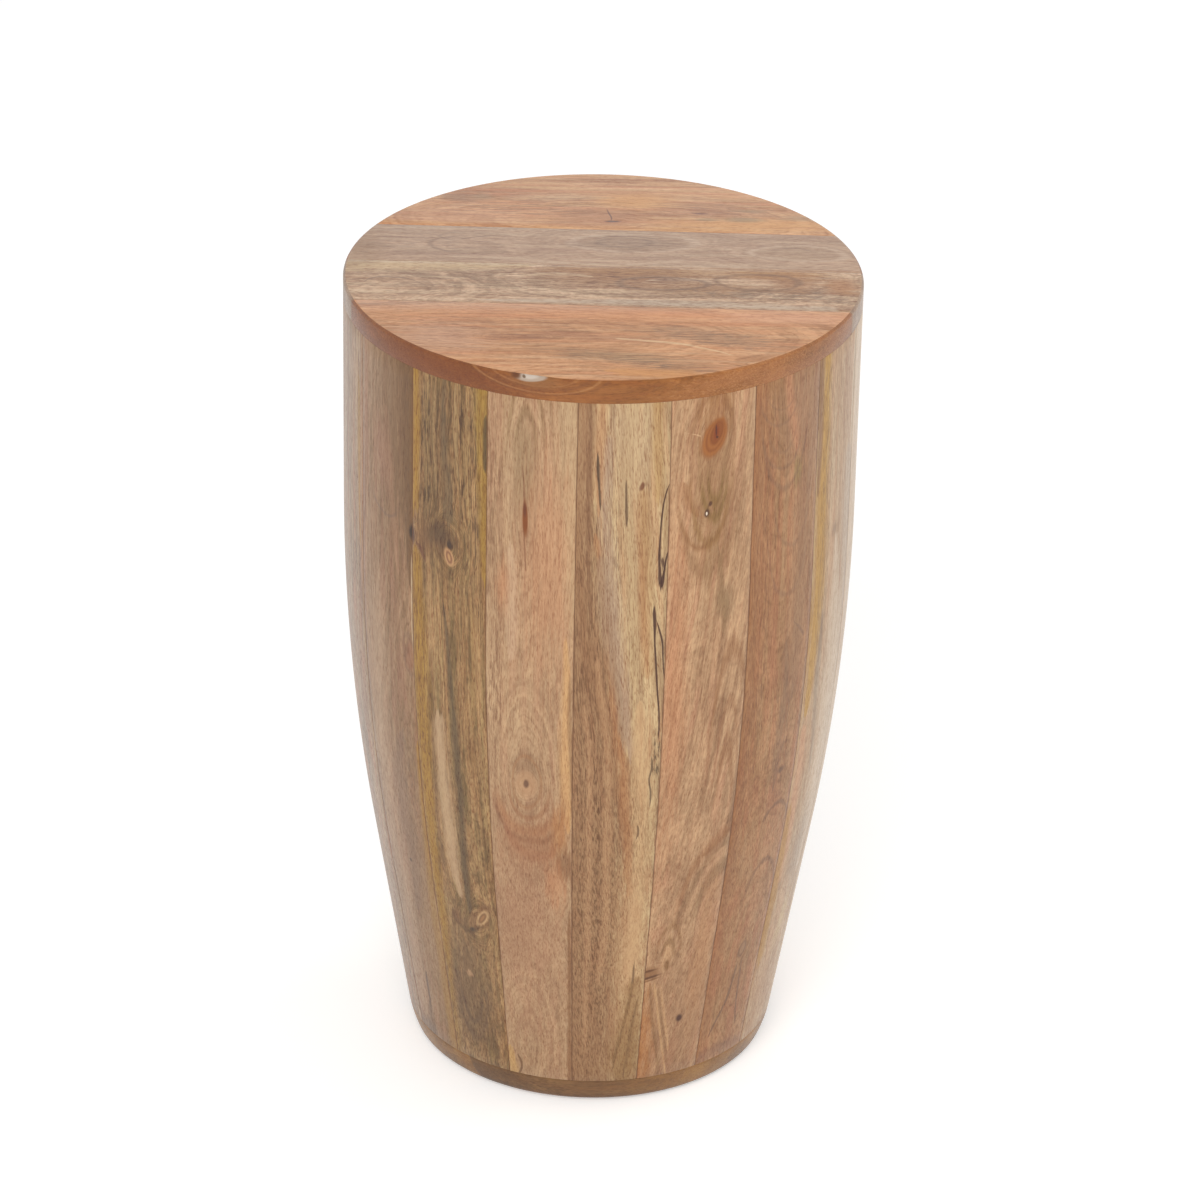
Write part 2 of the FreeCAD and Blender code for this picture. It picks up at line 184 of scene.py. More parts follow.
# %% Spin the skin and draw it inwards to the flat back
bpy.ops.mesh.select_all(action="SELECT")
bpy.ops.mesh.spin(
    steps=COLUMNS, angle=math.radians(STAVE_ANGLE), center=(0, 0, 0), axis=(0, 0, -1)
)
bpy.ops.mesh.select_all(action="SELECT")
bpy.ops.mesh.remove_doubles(threshold=0.01 * MM)
spread = sorted(v.co.x for v in bmesh.from_edit_mesh(stave.data).verts)
print("skin from x", round(spread[0], 4), "to", round(spread[-1], 4))
bpy.ops.mesh.extrude_region_move(TRANSFORM_OT_translate={"value": (0, STAVE_DEPTH, 0)})

for height in levels:
    radius = turned_radius(height)
    back = radius - STAVE_DEPTH
    pick(
        "verts",
        lambda v: abs(v.co.z - height) < 0.1 * MM and v.co.xy.length < radius - STAVE_DEPTH / 2,
    )
    narrower = back * math.tan(half_angle) / (radius * math.sin(half_angle))
    bpy.ops.transform.resize(value=(narrower, 0, 1), center_override=(0, -back, height))

# %% Ease the sharp edges of the stave
EASED = 0.2 * MM
bpy.ops.mesh.select_all(action="SELECT")
bpy.ops.mesh.normals_make_consistent(inside=False)
bpy.ops.mesh.select_mode(type="EDGE")
bpy.ops.mesh.select_all(action="DESELECT")
bpy.ops.mesh.edges_select_sharp(sharpness=math.radians(60))
bpy.ops.mesh.bevel(offset=EASED, segments=2, affect="EDGES")
close_up()
print("one stave:", len(stave.data.polygons), "faces")

# %% [markdown]
# ## Eighteen staves
#
# The drum isn't turned so that a joint faces front: the middle of the first stave
# is 5.2 degrees right of the front. Every stave is a copy with its own mesh.

# %% Set the staves in a ring
FIRST_TURN = 5.2
staves = {}
for number in range(1, STAVES + 1):
    name = f"stave_{number:02d}"
    turn = FIRST_TURN + (number - 1) * STAVE_ANGLE
    staves[name] = copy_of(stave, "turned_" + name, turn)
    settle(staves[name], [name])
bpy.data.objects.remove(stave)
print("staves:", len(staves))

# %% [markdown]
# ## The top
#
# Four boards are glued edge to edge, cut to a disc and turned flush with the
# staves. The upper edge is rounded by 2 mm so that it doesn't bruise. The glue
# lines run a little out of true, because the boards aren't of even width.
#
# It is easiest to shape the whole disc first and part it afterwards: then the
# round edge runs true across all four boards. Near the front of the rim an old
# knot hole was filled with pale filler, which sits a little low.

# %% Turn the disc of the top
RIM_STEPS = 360
ROUNDOVER = 2 * MM

disc = begin(
    "top_disc",
    bpy.ops.mesh.primitive_cylinder_add,
    vertices=RIM_STEPS,
    radius=RIM_RADIUS,
    depth=TOP_HIGH - TOP_LOW,
    location=(0, 0, (TOP_HIGH + TOP_LOW) / 2),
)
pick("edges", lambda e: all(abs(v.co.z - TOP_HIGH) < MM / 10 for v in e.verts))
bpy.ops.mesh.bevel(offset=ROUNDOVER, segments=5, affect="EDGES")
pick("edges", lambda e: all(abs(v.co.z - TOP_LOW) < MM / 10 for v in e.verts))
bpy.ops.mesh.bevel(offset=EASED, segments=2, affect="EDGES")
print("points on the disc:", len(bmesh.from_edit_mesh(disc.data).verts))

# %% Sink the filled knot hole in the rim
FILLER_AT = Vector((-38.5 * MM, -148 * MM, 503 * MM))
FILLER_HALF = 11 * MM
pick(
    "verts",
    lambda v: abs(v.co.x - FILLER_AT.x) < FILLER_HALF
    and v.co.y < -0.1
    and v.co.z > TOP_HIGH - 1.9 * MM
    and v.co.xy.length > RIM_RADIUS - 1.9 * MM,
)
inward = Vector((-FILLER_AT.x, -FILLER_AT.y, 0)).normalized()
bpy.ops.transform.translate(
    value=inward * 0.5 * MM,
    use_proportional_edit=True,
    proportional_edit_falloff="SMOOTH",
    proportional_size=2.5 * MM,
)
close_up()

# %% [markdown]
# ## Parting a disc into boards
#
# Each seam is given by its height on the plan at the left and at the right end. A
# board is a copy of the disc, cut by the plane of the seam behind it and by the
# plane of the seam before it, with the cuts filled. Then its new sharp edges are
# eased by a hair, which is what makes a glue line visible.

# %% Cut a disc along its seams
REACH = 160 * MM


def part_disc(disc, seams, eased):
    """Cuts a disc into boards from back to front. A seam is (y at the left, y at the right)."""
    boards = []
    for index in range(len(seams) + 1):
        board = copy_of(disc, f"{disc.name}_{index + 1}")
        bpy.ops.object.mode_set(mode="EDIT")
        planes = []
        for seam, side in ((index, 1), (index - 1, -1)):
            if not 0 <= seam < len(seams):
                continue
            left, right = (value * MM for value in seams[seam])
            middle = Vector((0, (left + right) / 2, 0))
            across = Vector((left - right, 2 * REACH, 0)).normalized() * side
            planes.append((middle, across))
            bpy.ops.mesh.select_all(action="SELECT")
            bpy.ops.mesh.bisect(
                plane_co=middle, plane_no=across, use_fill=True, clear_inner=True, threshold=MM / 1000
            )
        pick(
            "edges",
            lambda e: len(e.link_faces) == 2
            and e.calc_face_angle(0) > math.radians(50)
            and any(all(abs((v.co - p).dot(n)) < MM / 100 for v in e.verts) for p, n in planes),
        )
        bpy.ops.mesh.bevel(offset=eased, segments=2, affect="EDGES")
        close_up()
        boards.append(board)
    bpy.data.objects.remove(disc)
    return boards


top_boards = part_disc(disc, [(67, 62), (13, 7), (-45.5, -50)], 0.15 * MM)
for index, board in enumerate(top_boards, start=1):
    settle(board, [f"top_board_{index}"])
print("top boards:", [len(b.data.polygons) for b in top_boards])

# %% [markdown]
# ## The base
#
# The base is built like the top, but its edge turns in below the staves along an
# arc of 60 mm radius, which makes the drum seem to float a little. A disc is drawn
# down in steps, each ring scaled to the arc, and then parted into four boards.

# %% Turn the disc of the base
ARC_RADIUS = 60 * MM
ARC_MIDDLE = (54.3 * MM, 26.9 * MM)
CHAMFER = 1 * MM
ARC_STEPS = 8


def base_radius(height):
    """Radius of the base's turned-in edge at a height above the floor."""
    return ARC_MIDDLE[0] + math.sqrt(ARC_RADIUS**2 - (height - ARC_MIDDLE[1]) ** 2)


lowest_ring = BASE_LOW + CHAMFER
rings = [
    BASE_HIGH + (lowest_ring - BASE_HIGH) * step / ARC_STEPS for step in range(ARC_STEPS + 1)
]
radii = [base_radius(height) for height in rings]
rings.append(BASE_LOW)
radii.append(radii[-1] - CHAMFER)

base = begin(
    "base_disc",
    bpy.ops.mesh.primitive_circle_add,
    vertices=RIM_STEPS,
    radius=radii[0],
    fill_type="NGON",
    location=(0, 0, rings[0]),
)
for step in range(1, len(rings)):
    bpy.ops.mesh.extrude_region_move(
        TRANSFORM_OT_translate={"value": (0, 0, rings[step] - rings[step - 1])}
    )
    narrower = radii[step] / radii[step - 1]
    bpy.ops.transform.resize(value=(narrower, narrower, 1), center_override=(0, 0, rings[step]))
pick("edges", lambda e: all(abs(v.co.z - BASE_HIGH) < MM / 10 for v in e.verts))
bpy.ops.mesh.bevel(offset=EASED, segments=2, affect="EDGES")
close_up()

base_boards = part_disc(base, [(58, 44), (-4, -18), (-81, -103)], 0.15 * MM)
for index, board in enumerate(base_boards, start=1):
    settle(board, [f"base_board_{index}"])
print("base boards:", [len(b.data.polygons) for b in base_boards])

# %% [markdown]
# ## Screws
#
# Two rings inside the drum hold the discs. Six countersunk wood screws go up
# through the base into the lower ring, and six go up through the upper ring into
# the top. Only the heads of the lower ones show, on the underside.
#
# A screw starts as a cylinder of head size. Its upper face is drawn up and scaled
# again and again: the countersink first, then a shank with shallow thread ridges,
# then the point. The cross recess is cut by two thin blocks.

# %% Turn one screw
HEAD_RADIUS = 4 * MM
SHANK_RADIUS = 2 * MM
POINT = 4 * MM
RIDGES = 9


def make_screw(name, length):
    """One screw at the origin with its head face down at height 0 and its point up."""
    head = 2.4 * MM
    steps = [(0.3 * MM, HEAD_RADIUS), (head, SHANK_RADIUS * 0.8)]
    pitch = (length - head - POINT) / RIDGES
    for ridge in range(RIDGES):
        foot = head + pitch * ridge
        steps += [(foot + pitch * 0.45, SHANK_RADIUS), (foot + pitch, SHANK_RADIUS * 0.8)]
    steps.append((length, SHANK_RADIUS * 0.05))

    screw = begin(
        name,
        bpy.ops.mesh.primitive_circle_add,
        vertices=24,
        radius=HEAD_RADIUS * 0.96,
        fill_type="NGON",
        location=(0, 0, 0),
    )
    height, radius = 0.0, HEAD_RADIUS * 0.96
    for level, wide in steps:
        bpy.ops.mesh.extrude_region_move(TRANSFORM_OT_translate={"value": (0, 0, level - height)})
        bpy.ops.transform.resize(
            value=(wide / radius, wide / radius, 1), center_override=(0, 0, level)
        )
        height, radius = level, wide
    close_up(40)
    for turn in (45, 135):
        bpy.ops.object.select_all(action="DESELECT")
        bpy.ops.mesh.primitive_cube_add(size=1, location=(0, 0, 0))
        cutter = bpy.context.object
        cutter.scale = (4.6 * MM, 0.9 * MM, 2.6 * MM)
        cutter.rotation_euler = (0, 0, math.radians(turn))
        bpy.context.view_layer.objects.active = screw
        cut = screw.modifiers.new("recess", "BOOLEAN")
        cut.operation = "DIFFERENCE"
        cut.object = cutter
        bpy.ops.object.modifier_apply(modifier=cut.name)
        bpy.data.objects.remove(cutter)
    return screw


# %% Drive two rings of screws
def drive_screws(name, length, circle, first_turn, height):
    """Six screws in a circle, joined into one piece, with the heads at that height."""
    model = make_screw(name + "_model", length)
    ring = []
    for count in range(6):
        turn = first_turn + 60 * count
        screw = copy_of(model, f"{name}_{count}", turn)
        angle = math.radians(turn)
        screw.location = (circle * math.cos(angle), circle * math.sin(angle), height)
        ring.append(screw)
    bpy.data.objects.remove(model)
    bpy.ops.object.select_all(action="DESELECT")
    for screw in ring:
        screw.select_set(True)
    bpy.context.view_layer.objects.active = ring[0]
    bpy.ops.object.join()
    bpy.ops.object.transform_apply(location=True, rotation=True, scale=True)
    ring[0].name = ring[0].data.name = name
    return ring[0]


RING_LOW = TOP_LOW - 18 * MM
base_screws = drive_screws("driven_base_screws", 30 * MM, 78 * MM, 30, BASE_LOW)
top_screws = drive_screws("driven_top_screws", 26 * MM, 115 * MM, 15, RING_LOW)
settle(base_screws, ["base_screws"])
settle(top_screws, ["top_screws"])
print("screws:", len(base_screws.data.polygons), "and", len(top_screws.data.polygons), "faces")

# %% [markdown]
# ## Glides
#
# Four nail-on plastic glides keep the base 2 mm off the floor. A glide is a low
# dome with a nail moulded into its back. A disc is drawn down in four steps that
# follow the dome, and the middle of its back is inset and drawn up for the nail.

# %% Mould one glide and nail on four
GLIDE_RADIUS = 9 * MM
DOME = [(1.2, 1.0), (0.6, 0.95), (0.2, 0.86), (0.0, 0.7)]

glide = begin(
    "glide",
    bpy.ops.mesh.primitive_circle_add,
    vertices=48,
    radius=GLIDE_RADIUS,
    fill_type="NGON",
    location=(0, 0, BASE_LOW),
)
height, radius = BASE_LOW, GLIDE_RADIUS
for level, share in DOME:
    bpy.ops.mesh.extrude_region_move(TRANSFORM_OT_translate={"value": (0, 0, level * MM - height)})
    narrower = GLIDE_RADIUS * share / radius
    bpy.ops.transform.resize(value=(narrower, narrower, 1), center_override=(0, 0, level * MM))
    height, radius = level * MM, GLIDE_RADIUS * share
pick("faces", lambda f: abs(f.calc_center_median().z - BASE_LOW) < MM / 10)
bpy.ops.mesh.inset(thickness=GLIDE_RADIUS - 0.9 * MM)
bpy.ops.mesh.extrude_region_move(TRANSFORM_OT_translate={"value": (0, 0, 11 * MM)})
bpy.ops.mesh.extrude_region_move(TRANSFORM_OT_translate={"value": (0, 0, 1 * MM)})
bpy.ops.transform.resize(value=(0.2, 0.2, 1), center_override=(0, 0, BASE_LOW + 12 * MM))
close_up(40)
glide.location = (94 * MM, 0, 0)
bpy.ops.object.transform_apply(location=True, rotation=True, scale=True)

glides = []
for number in range(1, 5):
    piece = copy_of(glide, f"nailed_glide_{number}", 45 + 90 * (number - 1))
    settle(piece, [f"glide_{number}"])
    glides.append(piece)
bpy.data.objects.remove(glide)
print("one glide:", len(glides[0].data.polygons), "faces")

# %% [markdown]
# ## Colours and nodes
#
# Every material here is drawn by nodes, with no picture. Two helpers keep that
# short: one turns a written colour into the numbers a shader works in, and one
# adds a node, sets it and links it. Inputs are given in order or by name.

# %% A colour helper and a node helper
def linear(code):
    """Turns a colour written as "#b99475" into the linear numbers that a shader reads."""
    parts = [int(code[at : at + 2], 16) / 255 for at in (1, 3, 5)]
    return [*(p / 12.92 if p <= 0.04045 else ((p + 0.055) / 1.055) ** 2.4 for p in parts), 1.0]


def add(tree, kind, inputs=(), out=0, **settings):
    """Adds a node, sets its settings, sets or links its inputs, and gives back one output."""
    made = tree.nodes.new("ShaderNode" + kind)
    for key, value in settings.items():
        setattr(made, key, value)
    pairs = inputs.items() if isinstance(inputs, dict) else enumerate(inputs)
    for key, value in pairs:
        if isinstance(value, bpy.types.NodeSocket):
            tree.links.new(value, made.inputs[key])
        elif value is not None:
            made.inputs[key].default_value = value
    return made.outputs[out]


def new_group(name, inputs, outputs):
    """Starts a node group and gives back its tree and its input node's sockets by name."""
    tree = bpy.data.node_groups.new(name, "ShaderNodeTree")
    for socket in inputs:
        kind = "NodeSocketVector" if socket[0].isupper() else "NodeSocketFloat"
        tree.interface.new_socket(socket, in_out="INPUT", socket_type=kind)
    for socket in outputs:
        tree.interface.new_socket(socket, in_out="OUTPUT", socket_type="NodeSocketFloat")
    entry = tree.nodes.new("NodeGroupInput")
    return tree, entry.outputs


def end_group(tree, **results):
    """Links the group's results to its output node."""
    leave = tree.nodes.new("NodeGroupOutput")
    for key, value in results.items():
        tree.links.new(value, leave.inputs[key])
    return tree


# %% [markdown]
# ## How the wood is drawn
#
# Each board is given its own axes in millimetres: across, into the wood, and along
# the grain. On those axes four things make up a mango-wood board.
#
# - Growth rings. Where a saw cuts them they show as nested arches. The distance to
#   a long, thin oval gives such arches, and noise along that one distance gives
#   bands of uneven width.
# - Fibres and pores. Mango has coarse, open pores 0.2 to 0.3 mm wide and some
#   millimetres long. They are drawn about 0.5 mm wide, since finer ones can't show.
# - Knots. The fibres flow round a knot, and the rings close round it.
# - Stains. Mango logs are often left lying, and fungus colours the wood ochre,
#   grey and olive, with thin black lines between its colonies.


# %% A group for ovals: knots, stains and the arches of the growth rings
oval, sockets = new_group(
    "oval", ["Place", "Centre", "Half", "tilt", "fray", "soft"], ["distance", "inside"]
)
moved = add(oval, "VectorMath", (sockets["Place"], sockets["Centre"]), operation="SUBTRACT")
turned = add(
    oval,
    "VectorRotate",
    {"Vector": moved, "Angle": sockets["tilt"]},
    rotation_type="Y_AXIS",
)
scaled = add(oval, "VectorMath", (turned, sockets["Half"]), operation="DIVIDE")
reach = add(oval, "VectorMath", (scaled,), out="Value", operation="LENGTH")
frayed = add(oval, "Math", (reach, sockets["fray"]), operation="ADD")
outer = add(oval, "Math", (1.0, sockets["soft"]), operation="ADD")
inner = add(oval, "Math", (1.0, sockets["soft"]), operation="SUBTRACT")
inside = add(
    oval,
    "MapRange",
    (frayed, inner, outer, 1.0, 0.0),
    interpolation_type="SMOOTHSTEP",
)
end_group(oval, distance=reach, inside=inside)

# %% A group for the wood itself: bands, streaks, fibres and pores
wood, sockets = new_group(
    "wood",
    ["Grain", "rings", "band", "line", "streak", "blotch", "mottle", "spread"],
    ["tone", "fibre", "height"],
)


def stretched_noise(tree, vector, across, length, detail, roughness=0.5):
    """Noise whose grains are that wide and that long, in millimetres along the board."""
    size = (1 / across, 1 / across, 1 / length)
    grains = add(tree, "VectorMath", (vector, size), operation="MULTIPLY")
    settings = {"Vector": grains, "Scale": 1.0, "Detail": detail, "Roughness": roughness}
    return add(tree, "TexNoise", settings, out=0)


wide_ring = add(wood, "Math", (sockets["rings"], sockets["spread"]), operation="DIVIDE")
bands = add(
    wood,
    "TexNoise",
    {"W": wide_ring, "Scale": 1.0, "Detail": 3.0, "Roughness": 0.5},
    noise_dimensions="1D",
)
fine_ring = add(wood, "Math", (wide_ring, 1.3, 7.7), operation="MULTIPLY_ADD")
ring_noise = add(
    wood, "TexNoise", {"W": fine_ring, "Scale": 1.0, "Detail": 1.0}, noise_dimensions="1D"
)
ring_edge = add(wood, "Math", (ring_noise, 0.5), operation="SUBTRACT")
ring_edge = add(wood, "Math", (ring_edge,), operation="ABSOLUTE")
ring_lines = add(
    wood, "MapRange", (ring_edge, 0.0, 0.07, 1.0, 0.0), interpolation_type="SMOOTHSTEP"
)
streaks = stretched_noise(wood, sockets["Grain"], 3.6, 95, 3.0, 0.62)
blotches = stretched_noise(wood, sockets["Grain"], 17, 90, 2.0)
mottles = stretched_noise(wood, sockets["Grain"], 2.6, 4.5, 2.0, 0.6)
fibres = stretched_noise(wood, sockets["Grain"], 0.8, 12, 2.0, 0.65)
pores = stretched_noise(wood, sockets["Grain"], 0.55, 4.0, 1.0)

tone = 0.5
for amount, figure, middle, contrast in (
    ("band", bands, 0.5, 2.4),
    ("line", ring_lines, 0.3, 1.0),
    ("streak", streaks, 0.5, 2.0),
    ("blotch", blotches, 0.5, 2.0),
    ("mottle", mottles, 0.5, 2.0),
):
    centred = add(wood, "Math", (figure, contrast, -middle * contrast), operation="MULTIPLY_ADD")
    tone = add(wood, "Math", (centred, sockets[amount], tone), operation="MULTIPLY_ADD")
fibre_mask = add(
    wood, "MapRange", (fibres, 0.40, 0.75, 0.0, 1.0), interpolation_type="SMOOTHSTEP"
)
pore_mask = add(
    wood, "MapRange", (pores, 0.52, 0.68, 0.0, 1.0), interpolation_type="SMOOTHSTEP"
)
fibre = add(wood, "Math", (pore_mask, 0.9, fibre_mask), operation="MULTIPLY_ADD")
height = add(wood, "Math", (1.0, fibre), operation="SUBTRACT")
end_group(wood, tone=tone, fibre=fibre, height=height)

print("groups:", len(oval.nodes), "and", len(wood.nodes), "nodes")


# %% [markdown]
# ## A streak that follows a path
#
# Some marks aren't oval: an ochre strip along an edge, or a black line that
# wanders up the board. Such a mark is written as a list of heights, each with its
# place across the board and its half width. Two curve nodes turn the height into
# the place and the width, and the mark is where the board is nearer than the width.


# %% Masks for ovals and streaks
SIDE = 200
WIDEST = 60


def follow(tree, position, pairs, largest):
    """A curve node that reads a position from 0 to 1 and gives a value up to the largest."""
    value = add(tree, "FloatCurve", {"Value": position})
    points = value.node.mapping.curves[0].points
    points[0].location = (pairs[0][0], pairs[0][1] / largest)
    points[1].location = (pairs[-1][0], pairs[-1][1] / largest)
    for at, height in pairs[1:-1]:
        points.new(at, height / largest)
    value.node.mapping.update()
    return value


def streak_mask(tree, parts, path, soft, fray):
    """How far inside the streak the board is. The path is (along, across, half width)."""
    path = sorted(path)
    low, high = path[0][0], path[-1][0]
    position = add(tree, "MapRange", (parts["along"], low, high, 0.0, 1.0))
    where = [((z - low) / (high - low), u + SIDE) for z, u, _ in path]
    width = [((z - low) / (high - low), w) for z, _, w in path]
    centre = add(
        tree,
        "Math",
        (follow(tree, position, where, 2 * SIDE), 2 * SIDE, -SIDE),
        operation="MULTIPLY_ADD",
    )
    off = add(tree, "Math", (parts["across"], centre), operation="SUBTRACT")
    off = add(tree, "Math", (off,), operation="ABSOLUTE")
    half = add(
        tree,
        "Math",
        (follow(tree, position, width, WIDEST), WIDEST),
        operation="MULTIPLY",
    )
    reach = (high - low) / 2
    beyond = add(tree, "Math", (parts["along"], (low + high) / 2), operation="SUBTRACT")
    beyond = add(tree, "Math", (beyond,), operation="ABSOLUTE")
    beyond = add(tree, "Math", (parts["fray"], 12 * fray, beyond), operation="MULTIPLY_ADD")
    taper = min(9.0, 0.4 * reach)
    ends = add(
        tree,
        "MapRange",
        (beyond, reach - taper, reach, 1.0, 0.0),
        interpolation_type="SMOOTHSTEP",
    )
    half = add(tree, "Math", (half, ends, 0.001), operation="MULTIPLY_ADD")
    off = add(tree, "Math", (off, half), operation="DIVIDE")
    frayed = add(tree, "Math", (parts["fray"], fray, off), operation="MULTIPLY_ADD")
    return add(
        tree,
        "MapRange",
        (frayed, 1 - soft, 1 + soft, 1.0, 0.0),
        interpolation_type="SMOOTHSTEP",
    )


def oval_node(tree, parts, centre, half, tilt=0.0, fray=0.0, soft=0.3, depth=1e5, out="inside"):
    """An oval on the board: its centre and half sizes are (across, along) in millimetres."""
    if fray:
        fray = add(tree, "Math", (parts["fray"], fray), operation="MULTIPLY")
    inputs = {
        "Place": parts["place"],
        "Centre": (centre[0], parts["depth"], centre[1]),
        "Half": (half[0], depth, half[1]),
        "tilt": -math.radians(tilt),
        "fray": fray,
        "soft": soft,
    }
    return add(tree, "Group", inputs, out=out, node_tree=oval)


def arc_mask(tree, parts, kind, centre, half, width, soft):
    """The outline of an oval: all of it, or its upper half (an arch) or lower half (a cup)."""
    distance = oval_node(tree, parts, centre, half, out="distance")
    off = add(tree, "Math", (distance, 1.0), operation="SUBTRACT")
    off = add(tree, "Math", (off,), operation="ABSOLUTE")
    off = add(tree, "Math", (off, half[0] / width), operation="MULTIPLY")
    frayed = add(tree, "Math", (parts["fray"], 2.5, off), operation="MULTIPLY_ADD")
    mask = add(
        tree,
        "MapRange",
        (frayed, 1 - soft, 1 + soft, 1.0, 0.0),
        interpolation_type="SMOOTHSTEP",
    )
    if kind == "loop":
        return mask
    above = add(tree, "Math", (parts["along"], centre[1]), operation="SUBTRACT")
    reach = half[1] if kind == "arch" else -half[1]
    shown = add(tree, "MapRange", (above, 0.0, 0.6 * reach, 0.0, 1.0))
    return add(tree, "Math", (mask, shown), operation="MULTIPLY")


# %% [markdown]
# ## One board of mango wood
#
# The board's character is a small dictionary: two tones, where the arches of its
# rings are centred, its knots, and its marks. The function draws the same wood
# each time but lets those lead. The finish is a thin satin lacquer over sanded
# wood: a clear coat with a soft gloss, through which the pores still show.

# %% Draw a board from its character
PLAIN = {
    "light": "#c49d7b",
    "dark": "#9c7453",
    "rings": [((0, 250), 12, 0)],
    "band": 0.6,
    "line": 0.35,
    "streak": 0.9,
    "blotch": 0.8,
    "mottle": 0.25,
    "spread": 5.0,
    "fibre": 0.42,
    "wander": 3.0,
    "waver": 10.0,
    "lean": 0.0,
    "knots": [],
    "marks": [],
    "through": 1e5,
    "depth": 0.0,
    "patch": None,
    "drift": 0.4,
    "blush": "#c08460",
    "pale": "#cdb28e",
    "seam": None,
}
FIBRE_TINT = "#b8937a"
LACQUER_DEPTH = 1.14


